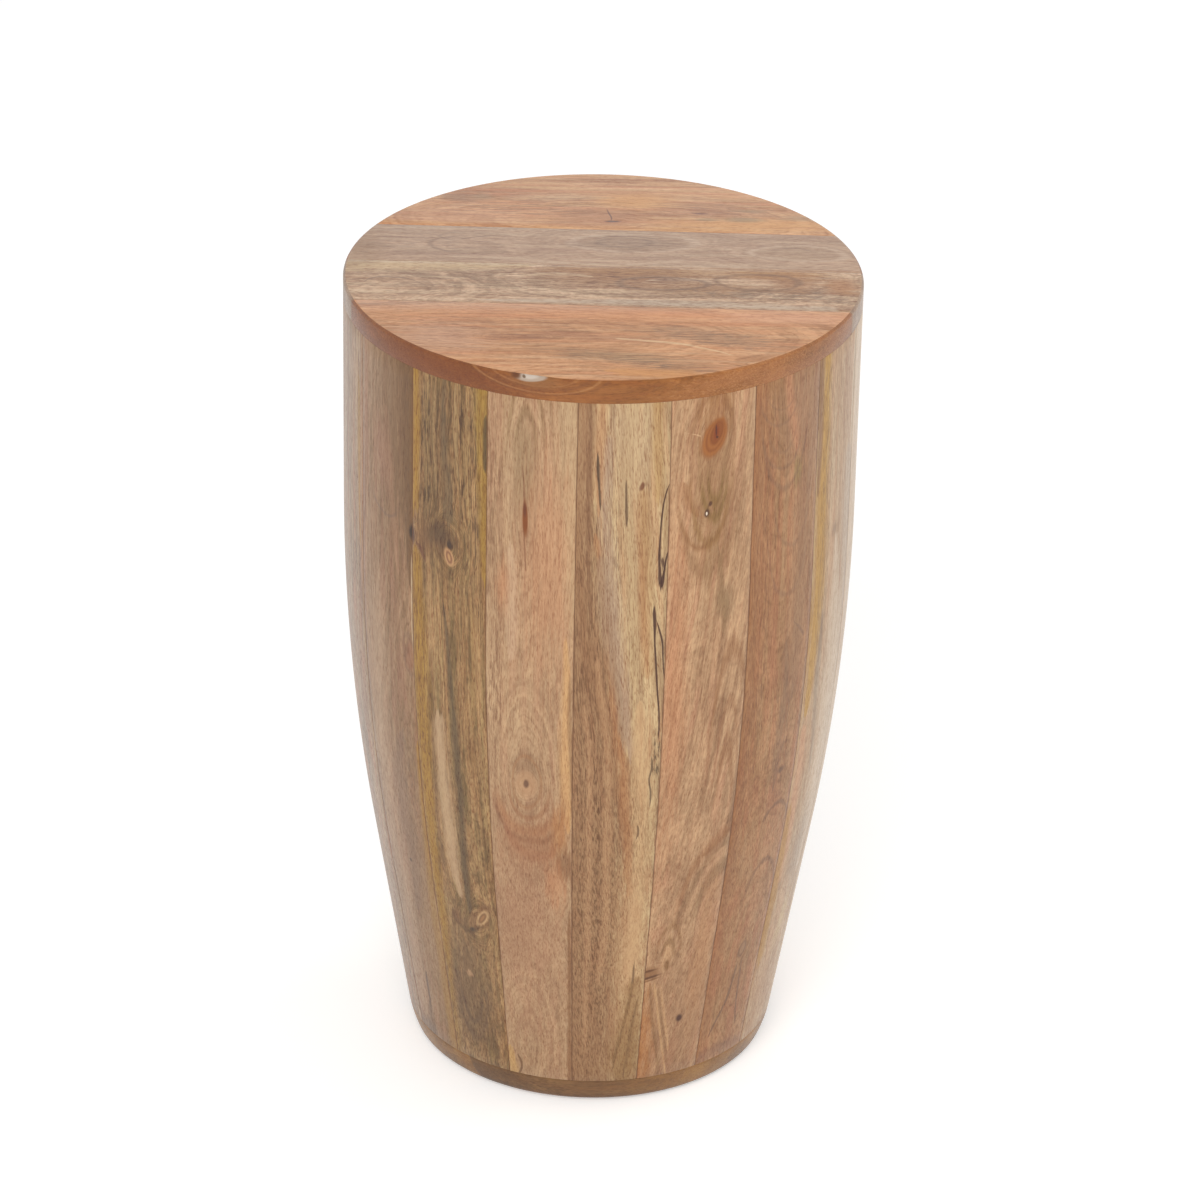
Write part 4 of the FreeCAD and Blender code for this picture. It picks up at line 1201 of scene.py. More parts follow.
STAVE_WOOD["stave_02"] = dict(
    light="#d5af88",
    dark="#96714e",
    rings=[((-2, 448), 2.6, 6), ((19, 190), 6.0, 9)],
    drift=0.32,
    pale="#d2b08a",
    blush="#c69070",
    band=0.32,
    line=0.12,
    streak=0.9,
    blotch=0.4,
    mottle=0.4,
    spread=6.5,
    fibre=0.36,
    wander=2.5,
    waver=3.0,
    lean=-0.12,
    knots=[((-1, 467), (10, 14), 18), ((-4, 418), (5, 8), 0), ((-21, 97), (9, 9), -20), ((4, 61), (4, 6), 0)],
    marks=[
        ("oval", (2, 45), (26, 60), 0, 0.9, "#98714e", 0.4),
        ("oval", (-1, 432), (13, 56), 0, 0.5, "#a37d54", 0.6),
        ("oval", (-20, 300), (6, 90), 0, 0.9, "#c98f66", 0.5),
        ("oval", (9, 354), (5, 11), 0, 0.7, "#977c58", 0.6),
        ("streak", [(395, 3, 1.0), (375, 6, 1.4), (350, 9, 1.6), (330, 9, 1.0)], 0.8, "#9a7a54", 0.6),
        ("oval", (0, 482), (8, 15), 10, 0.8, "#ab7a4c", 0.6),
        ("clean", (-1.0, 464), (7.8, 12.4), 20, 0.22, "#935716", 0.85),
        ("clean", (-0.6, 464.4), (6.9, 11.2), 20, 0.15, "#a86c32", 0.9),
        ("clean", (-0.3, 465), (5.7, 9.8), 18, 0.12, "#8a4e14", 0.8),
        ("clean", (0.0, 465.6), (4.9, 8.8), 17, 0.15, "#a66a30", 0.85),
        ("clean", (0.4, 466.6), (3.8, 7.2), 15, 0.2, "#844604", 0.85),
        ("clean", (0.6, 467.2), (2.9, 5.9), 14, 0.3, "#965a20", 0.7),
        ("clean", (0.3, 466.8), (1.7, 4.6), 6, 0.5, "#8a4200", 0.85),
        ("clean", (0.0, 468.2), (0.55, 3.6), -4, 0.4, "#602800", 0.95),
        ("clean", (0.9, 464), (0.8, 0.7), 20, 0.4, "#4a2200", 0.8),
        ("cup", (1, 448), (5, 26), 0.9, 0.8, "#86662e", 0.7),
        ("cup", (0.5, 446), (8.5, 34), 1.0, 0.8, "#86662e", 0.7),
        ("clean", (-2.0, 421.6), (1.1, 1.8), 15, 0.4, "#5b3210", 0.9),
        ("clean", (-4.2, 415.6), (1.6, 2.7), 10, 0.4, "#58310f", 0.92),
        ("clean", (-4.3, 415.3), (0.55, 1.15), 0, 0.3, "#ecdcc6", 0.95),
        ("streak", [(442, -17, 2), (430, -17, 3.2), (420, -13, 3.2), (412, -6, 1.4)], 1.0, "#9c6a3c", 0.5),
        ("line", [(470, -18, 0.5), (468, -12, 0.9), (466, -9, 0.5)], 0.6, "#d8b48c", 0.7),
        ("cup", (-6, 424), (15, 30), 1.1, 0.9, "#96683c", 0.6),
        ("arch", (-2, 446), (15, 46), 1.2, 0.9, "#96683c", 0.5),
        ("cup", (-2, 446), (13, 50), 1.0, 0.8, "#96703f", 0.6),
        ("cup", (-2, 440), (20, 62), 1.4, 0.9, "#96724a", 0.35),
        ("arch", (17, 225), (14, 100), 0.9, 0.8, "#94653a", 0.55),
        ("arch", (17, 210), (6, 52), 0.9, 0.8, "#94653a", 0.55),
        ("arch", (17, 200), (9.5, 90), 0.5, 0.7, "#a47851", 0.45),
        ("streak", [(181, 2, 1.4), (189, 13, 3.0), (201, 26, 3.0)], 0.9, "#94683a", 0.6),
        ("streak", [(172, 3, 1.0), (180, 12, 2.2), (188, 25, 2.2)], 0.9, "#d8b088", 0.75),
        ("oval", (12, 165), (16, 16), 0, 0.9, "#a67e5c", 0.5),
        ("arch", (27, 120), (36, 80), 1.6, 0.9, "#9c6c40", 0.5),
        ("arch", (27, 120), (32, 70), 1.6, 0.9, "#8a6a44", 0.45),
        ("arch", (27, 120), (28, 62), 1.4, 0.9, "#d0ab84", 0.5),
        ("arch", (27, 120), (24.5, 53), 2.2, 0.9, "#8c7048", 0.4),
        ("arch", (27, 120), (20, 43), 1.4, 0.9, "#cda680", 0.45),
        ("oval", (-21, 45), (7, 40), -4, 0.7, "#b67a3e", 0.65),
        ("oval", (-10, 111), (3.4, 12), 0, 0.6, "#d0aa80", 0.65),
        ("arch", (-10, 104), (4.8, 17), 0.8, 0.8, "#8f6a40", 0.65),
        ("arch", (-10, 104), (8.5, 29), 0.8, 0.9, "#9c7448", 0.5),
        ("oval", (-9, 102), (1.6, 3.6), 0, 0.6, "#855c2c", 0.75),
        ("clean", (-21, 99), (6.5, 4.2), 0, 0.7, "#8f6238", 0.75),
        ("clean", (-20, 95.8), (6.5, 0.9), 0, 0.6, "#5c3210", 0.85),
        ("clean", (-19, 93.6), (6.0, 0.6), 0, 0.6, "#7c5228", 0.7),
        ("clean", (-21, 101), (5.0, 0.9), 0, 0.6, "#673c18", 0.8),
        ("streak", [(92, -19.5, 0.6), (70, -16, 0.9), (40, -10, 1.0), (10, -5, 0.8)], 0.9, "#8a653c", 0.5),
        ("streak", [(93, -17, 0.6), (75, -13, 0.8), (50, -8, 0.8), (25, -3, 0.7), (8, 0, 0.5)], 0.9, "#cfa97c", 0.7),
        ("streak", [(91, -14.5, 0.6), (72, -10.5, 0.9), (48, -5.5, 0.9), (22, -0.5, 0.7)], 0.9, "#8c683e", 0.5),
        ("streak", [(90, -12, 0.5), (70, -8, 0.7), (50, -3.5, 0.7), (30, 0, 0.5)], 0.9, "#cba478", 0.6),
        ("clean", (4, 61.5), (2.2, 2.7), 0, 0.5, "#502608", 0.95),
        ("oval", (14, 110), (6, 50), 0, 0.8, "#bd8d62", 0.5),
    ],
)
STAVE_WOOD["stave_03"] = dict(
    light="#c29469",
    dark="#986f42",
    rings=[((-3, 510), 4.6, 0), ((5, 68), 3.6, 0)],
    pale="#b6946c",
    blush="#b4744e",
    band=0.4,
    line=0.25,
    streak=0.6,
    blotch=0.6,
    mottle=0.6,
    spread=6,
    fibre=0.4,
    wander=2.5,
    waver=4.0,
    knots=[((3, 97), (5, 7), 0), ((10, 231), (4, 6), 0)],
    marks=[
        ("oval", (9, 470), (17, 40), 0, 0.8, "#9c785a", 0.5),
        ("streak", [(510, -24, 5), (400, -24, 6), (300, -23, 6), (200, -22, 5), (100, -20, 5), (5, -19, 4)], 0.9, "#a06b41", 0.45),
        ("flecks", (-17, 300), (9, 180), 0, 0.6, "#7c5132", 0.4),
        ("streak", [(505, -3, 2.2), (478, -1, 3.6), (458, 4, 3.2), (436, 8, 1.5)], 0.9, "#c8926a", 0.65),
        ("oval", (9, 426), (4, 9), 0, 0.7, "#9a8048", 0.7),
        ("cup", (-8, 482), (15, 21), 0.6, 0.9, "#8f6d50", 0.4),
        ("cup", (-7, 484), (11, 13), 0.5, 0.9, "#8f6d50", 0.35),
        ("cup", (-4, 462), (17, 31), 0.6, 0.9, "#8f6d50", 0.42),
        ("cup", (-5, 468), (13, 26), 0.5, 0.9, "#936f52", 0.35),
        ("cup", (-2, 480), (21, 62), 0.6, 0.8, "#8a6649", 0.45),
        ("cup", (6, 420), (16, 41), 0.6, 0.9, "#8f6d50", 0.35),
        ("cup", (4, 400), (18, 52), 0.6, 0.8, "#8f6b4e", 0.4),
        ("streak", [(500, 24, 2), (440, 22, 2.5), (400, 20, 2)], 0.8, "#a88464", 0.6),
        ("streak", [(326, 12, 1.0), (318, 20, 1.6), (312, 25, 1.2)], 0.7, "#7f5a40", 0.6),
        ("streak", [(318, 4, 1.5), (280, 7, 3), (240, 6, 3), (215, 6, 1.5)], 0.9, "#927050", 0.5),
        ("streak", [(430, 14, 3), (380, 15, 7), (330, 15, 8), (270, 12, 6)], 0.95, "#96714f", 0.45),
        ("flecks", (8, 245), (8, 60), 0, 0.7, "#76543a", 0.4),
        ("oval", (12, 228), (3, 2), 0, 0.6, "#76543a", 0.7),
        ("arch", (13, 178), (13, 25), 0.8, 0.8, "#86603e", 0.65),
        ("arch", (10, 125), (15, 35), 0.8, 0.8, "#86603e", 0.6),
        ("clean", (3, 97), (3.4, 5.4), 10, 0.25, "#7f5a3c", 0.8),
        ("clean", (3, 97.4), (2.2, 3.8), 10, 0.3, "#a57f5a", 0.8),
        ("line", [(92, 1.2, 0.4), (76, 0, 0.8), (60, -3, 0.9), (46, -9, 0.9), (34, -14, 0.6)], 0.7, "#7c5a3e", 0.75),
        ("line", [(92, 4.8, 0.4), (76, 6, 0.7), (55, 8, 0.7), (35, 12, 0.4)], 0.7, "#7c5a3e", 0.7),
        ("oval", (0, 24), (20, 5), 0, 0.7, "#886047", 0.45),
    ],
)
STAVE_WOOD["stave_04"] = dict(
    light="#cdae8a",
    dark="#a8845c",
    rings=[((12, 300), 12, -6)],
    pale="#d4c2a2",
    blush="#c89a72",
    band=0.4,
    line=0.25,
    streak=0.8,
    blotch=0.7,
    mottle=0.3,
    spread=6,
    fibre=0.36,
    waver=6.0,
    marks=[
        ("streak", [(510, -18, 3.5), (450, -17, 4), (400, -17, 5.5), (340, -17.5, 6), (290, -18.5, 4.5), (250, -20, 2)], 0.7, "#c09434", 0.85),
        ("streak", [(510, -23, 2), (440, -23, 2.5), (400, -23, 1.5)], 0.8, "#8a6138", 0.6),
        ("flecks", (-13, 440), (7, 60), 0, 0.6, "#85602f", 0.55),
        ("flecks", (-12, 330), (5, 60), 0, 0.6, "#8a6840", 0.5),
        ("streak", [(330, -9, 1.0), (295, -10, 2.0), (265, -9, 2.6), (235, -6, 2.4), (205, -3, 1.4)], 0.9, "#947c62", 0.6),
        ("streak", [(420, 20, 6), (360, 22, 8), (330, 24, 5), (300, 27, 2)], 0.9, "#b8a28c", 0.6),
        ("streak", [(374, 1, 1.5), (345, 4, 5), (310, 8, 10), (270, 12, 14), (220, 14, 14), (170, 14, 10), (125, 13, 3)], 0.8, "#d8c3a8", 0.75),
        ("flecks", (10, 250), (12, 60), 0, 0.8, "#c7b095", 0.5),
        ("streak", [(250, -20, 3), (180, -17, 5), (130, -17, 5)], 0.9, "#cf9f78", 0.7),
        ("streak", [(200, -20, 1.5), (160, -19, 3), (120, -18, 4), (70, -17, 3)], 0.7, "#b88c3e", 0.8),
        ("oval", (-1, 373), (3.0, 4), 0, 0.8, "#8f7354", 0.6),
        ("oval", (4, 150), (9, 26), 0, 0.9, "#a58e76", 0.65),
        ("oval", (4, 94), (5, 16), 8, 0.8, "#cfb486", 0.65),
        ("oval", (-4, 45), (14, 30), 0, 0.8, "#b48b64", 0.45),
    ],
)
STAVE_WOOD["stave_15"] = dict(
    light="#b89a7c",
    dark="#8c745c",
    rings=[((4, 330), 12, 3)],
    band=0.5,
    line=0.3,
    streak=0.7,
    fibre=0.5,
    marks=[("streak", [(470, 20, 1.2), (440, 20.5, 2.4), (390, 21.5, 1.8), (350, 22, 0.8)], 0.7, OCHRE, 0.6)],
)

# %% [markdown]
# ## The staves at the sides and back
#
# The other ten staves follow the same rules: plain boards mostly, with a knot, an
# ochre edge or a dark streak here and there, so that every side of the drum holds
# something to look at.

# %% The staves at the sides and back
STAVE_WOOD["stave_05"] = dict(
    light="#dfc8ac",
    dark="#c4aa8c",
    rings=[((-5, 120), 13, 0)],
    fibre=0.3,
    drift=0.3,
    blush="#d3b08c",
    pale="#e0d0b4",
    knots=[((-6, 122), (7, 11), 0)],
    marks=[
        ("streak", [(420, 15, 1), (330, 17, 3), (200, 16, 2), (120, 14, 1)], 0.8, "#c9ab86", 0.6),
        ("oval", (-6, 122), (3, 5), 0, 0.5, "#8a5f43", 0.8),
        ("loop", (-6, 122), (8, 15), 0.9, 0.9, "#b3936e", 0.5),
        ("oval", (4, 430), (12, 50), 0, 0.9, "#c9b092", 0.5),
    ],
)
STAVE_WOOD["stave_06"] = dict(
    light="#c69c76",
    dark="#9c744e",
    rings=[((2, 520), 9, 0), ((6, 150), 5, 0)],
    blush="#b97c54",
    pale="#c8a880",
    knots=[((6, 150), (6, 9), 0)],
    marks=[
        ("streak", [(500, -24, 3), (300, -24, 4), (60, -20, 2)], 0.7, OCHRE, 0.6),
        ("oval", (4, 430), (12, 50), 0, 0.9, "#a27c58", 0.5),
        ("clean", (6, 150), (2.4, 3.8), 8, 0.4, "#6b4222", 0.85),
        ("loop", (6, 150), (7, 14), 0.9, 0.8, "#8f6842", 0.6),
        ("flecks", (-16, 260), (9, 150), 0, 0.6, "#7a5434", 0.45),
        ("oval", (6, 60), (14, 40), 0, 0.9, "#a67e58", 0.45),
    ],
)
STAVE_WOOD["stave_07"] = dict(
    light="#d9bb90",
    dark="#b0906a",
    rings=[((30, 250), 22, 0)],
    streak=1.2,
    blush="#c2926a",
    pale="#d4bd94",
    marks=[
        ("streak", [(510, 20, 6), (400, 19, 9), (300, 16, 12), (180, 15, 13), (20, 16, 9)], 0.6, "#a27c56", 0.8),
        ("streak", [(470, 6, 1), (380, 8, 3), (250, 5, 3), (140, 4, 1)], 0.9, "#b59a80", 0.6),
        ("line", [(330, -12, 0.3), (300, -10, 0.7), (260, -11, 0.6), (225, -9, 0.3)], 0.4, INK, 0.85),
        ("line", [(250, -7, 0.3), (222, -8, 0.8), (190, -6, 0.5), (172, -7, 0.3)], 0.4, INK, 0.85),
        ("flecks", (14, 240), (10, 150), 0, 0.6, "#765331", 0.5),
        ("oval", (-12, 90), (9, 40), 0, 0.9, "#c9a780", 0.5),
    ],
)
STAVE_WOOD["stave_08"] = dict(
    light="#c2966e",
    dark="#96704a",
    rings=[((-2, 340), 6, 5), ((8, 90), 4, 0)],
    line=0.25,
    blush="#b87a52",
    pale="#c4a27a",
    knots=[((-2, 340), (9, 15), 5)],
    marks=[
        ("clean", (-2, 340), (6.8, 11.5), 5, 0.3, "#a06a38", 0.85),
        ("clean", (-1.6, 341), (3.8, 7.4), 5, 0.4, "#87572c", 0.85),
        ("clean", (-1.4, 342), (0.6, 3.6), 5, 0.4, "#3e1a04", 0.9),
        ("loop", (-2, 340), (10, 21), 1.0, 0.9, "#8f6842", 0.55),
        ("cup", (-1, 344), (16, 46), 1.0, 0.9, "#946c48", 0.5),
        ("arch", (8, 70), (9, 46), 0.9, 0.9, "#8d6848", 0.5),
        ("oval", (-15, 440), (8, 50), 0, 0.9, "#cba27a", 0.5),
    ],
)
STAVE_WOOD["stave_09"] = dict(
    light="#cfa67e",
    dark="#a57c56",
    rings=[((-28, 200), 14, -4)],
    blush="#c68a64",
    pale="#d2b48c",
    marks=[
        ("streak", [(500, 20, 4), (400, 21, 4), (320, 22, 2)], 0.8, CREAM, 0.6),
        ("oval", (2, 128), (2.0, 3.0), 0, 0.5, "#6b4222", 0.85),
        ("arch", (-6, 330), (9, 60), 0.9, 0.9, "#94704c", 0.5),
        ("oval", (-6, 330), (6, 40), 0, 0.9, "#b0906a", 0.5),
        ("flecks", (10, 230), (12, 80), 0, 0.7, "#85603e", 0.4),
    ],
)
STAVE_WOOD["stave_10"] = dict(
    light="#b79468",
    dark="#7a6040",
    rings=[((10, 250), 28, 0)],
    streak=1.1,
    fibre=0.55,
    blush="#9a7040",
    pale="#a8925e",
    drift=0.35,
    knots=[((8, 196), (8, 11), 0)],
    marks=[
        ("streak", [(505, -23, 4), (350, -23, 6), (200, -21, 4), (60, -19, 3)], 0.7, OCHRE, 0.8),
        ("streak", [(430, 6, 1), (330, 8, 3), (230, 6, 2)], 0.8, SLATE, 0.6),
        ("smooth", [(420, -8, 1), (370, -7, 4), (320, -8, 4), (270, -8, 1)], 0.7, "#cbac84", 0.75),
        ("flecks", (14, 420), (9, 70), 0, 0.6, "#574026", 0.55),
        ("clean", (8, 196), (3.4, 5.4), -14, 0.3, "#c59b70", 0.85),
        ("clean", (8, 196), (2.1, 3.8), -14, 0.3, "#80543a", 0.9),
        ("arch", (5, 200), (9, 15), 0.8, 0.8, "#5c4029", 0.6),
        ("oval", (0, 60), (15, 40), 0, 0.9, "#7f6547", 0.5),
    ],
)
STAVE_WOOD["stave_11"] = dict(
    light="#cfa880",
    dark="#a37c58",
    rings=[((3, 60), 6, 0), ((-6, 470), 4, 0)],
    blush="#c68c68",
    pale="#d0b48c",
    knots=[((3, 60), (7, 12), 0)],
    marks=[
        ("oval", (3, 60), (3.5, 6), 0, 0.5, "#915a30", 0.8),
        ("loop", (3, 60), (8, 17), 0.9, 0.9, "#94704c", 0.5),
        ("arch", (-4, 400), (11, 80), 0.9, 0.9, "#947250", 0.5),
        ("streak", [(505, 21, 5), (420, 22, 5), (340, 24, 2)], 0.8, "#c6aa7a", 0.6),
        ("clean", (-6, 300), (1.4, 8), 3, 0.5, "#7a4216", 0.85),
    ],
)
STAVE_WOOD["stave_12"] = dict(
    light="#b99874",
    dark="#8f6e4e",
    rings=[((-6, 420), 7, 0)],
    blush="#ab7c5e",
    pale="#bda084",
    marks=[
        ("oval", (6, 250), (8, 70), 0, 0.9, "#a87a58", 0.5),
        ("oval", (12, 440), (14, 60), 0, 0.9, "#80624a", 0.5),
        ("cup", (-6, 420), (9, 40), 0.9, 0.9, "#7f6045", 0.5),
        ("streak", [(230, 23, 1.5), (160, 21, 3), (60, 18, 3), (10, 17, 3)], 0.8, OCHRE, 0.55),
        ("flecks", (-8, 120), (14, 70), 0, 0.7, "#6f5238", 0.4),
    ],
)
STAVE_WOOD["stave_13"] = dict(
    light="#d3b68c",
    dark="#aa8a64",
    rings=[((26, 300), 20, 3)],
    streak=1.2,
    blush="#bd8a60",
    pale="#ccb488",
    marks=[
        ("streak", [(510, -26, 8), (350, -26, 14), (200, -22, 20), (40, -18, 18)], 0.6, "#9d7652", 0.8),
        ("line", [(420, 12, 0.3), (385, 14, 0.8), (340, 13, 0.5), (300, 15, 0.3)], 0.4, INK, 0.9),
        ("line", [(306, 16, 0.3), (280, 15, 0.9), (240, 17, 0.5), (205, 18, 0.3)], 0.4, INK, 0.9),
        ("streak", [(400, -11, 2), (300, -8, 3), (200, -1, 3)], 0.9, "#b0794a", 0.5),
        ("flecks", (-14, 220), (10, 150), 0, 0.6, "#75522f", 0.5),
    ],
)
STAVE_WOOD["stave_14"] = dict(
    light="#c8a07c",
    dark="#9c7654",
    rings=[((0, 200), 6, -6), ((8, 520), 6, 0)],
    blush="#bd8664",
    pale="#ccae8a",
    knots=[((0, 200), (6, 10), -6)],
    marks=[
        ("clean", (0, 200), (3.4, 6.0), -6, 0.4, "#96602f", 0.85),
        ("clean", (0, 200), (1.2, 2.4), -6, 0.5, "#54331d", 0.85),
        ("loop", (0, 200), (8, 17), 0.9, 0.9, "#94704c", 0.55),
        ("streak", [(480, -22, 4), (330, -23, 5), (180, -21, 4)], 0.9, "#a5744c", 0.5),
        ("oval", (9, 400), (10, 50), 0, 0.9, "#a98560", 0.5),
    ],
)

for number, (name, character) in enumerate(sorted(STAVE_WOOD.items())):
    turn = FIRST_TURN + (int(name[-2:]) - 1) * STAVE_ANGLE
    axes = (0, 0, -math.radians(turn))
    wood_of_stave = mango(f"lacquered_mango_{name}", axes, number + 1, seam=axes, **character)
    staves[name].data.materials.append(wood_of_stave)
print("stave materials:", len(STAVE_WOOD))

# %% [markdown]
# ## The boards of the top and the base
#
# The grain of the discs runs from left to right. Across is now towards the back
# and along is to the right, both from the middle of the disc. The rings are let
# run through the thickness, so that they carry on down the edge. The turned edge
# soaks up more lacquer than the face and is darker, so it has a second finish.

# %% Finish the top
FLAT_AXES = Matrix(((0, 1, 0), (0, 0, 1), (1, 0, 0))).to_euler()
EDGE_AXES = Matrix(((0, 0, 1), (0, -1, 0), (1, 0, 0))).to_euler()

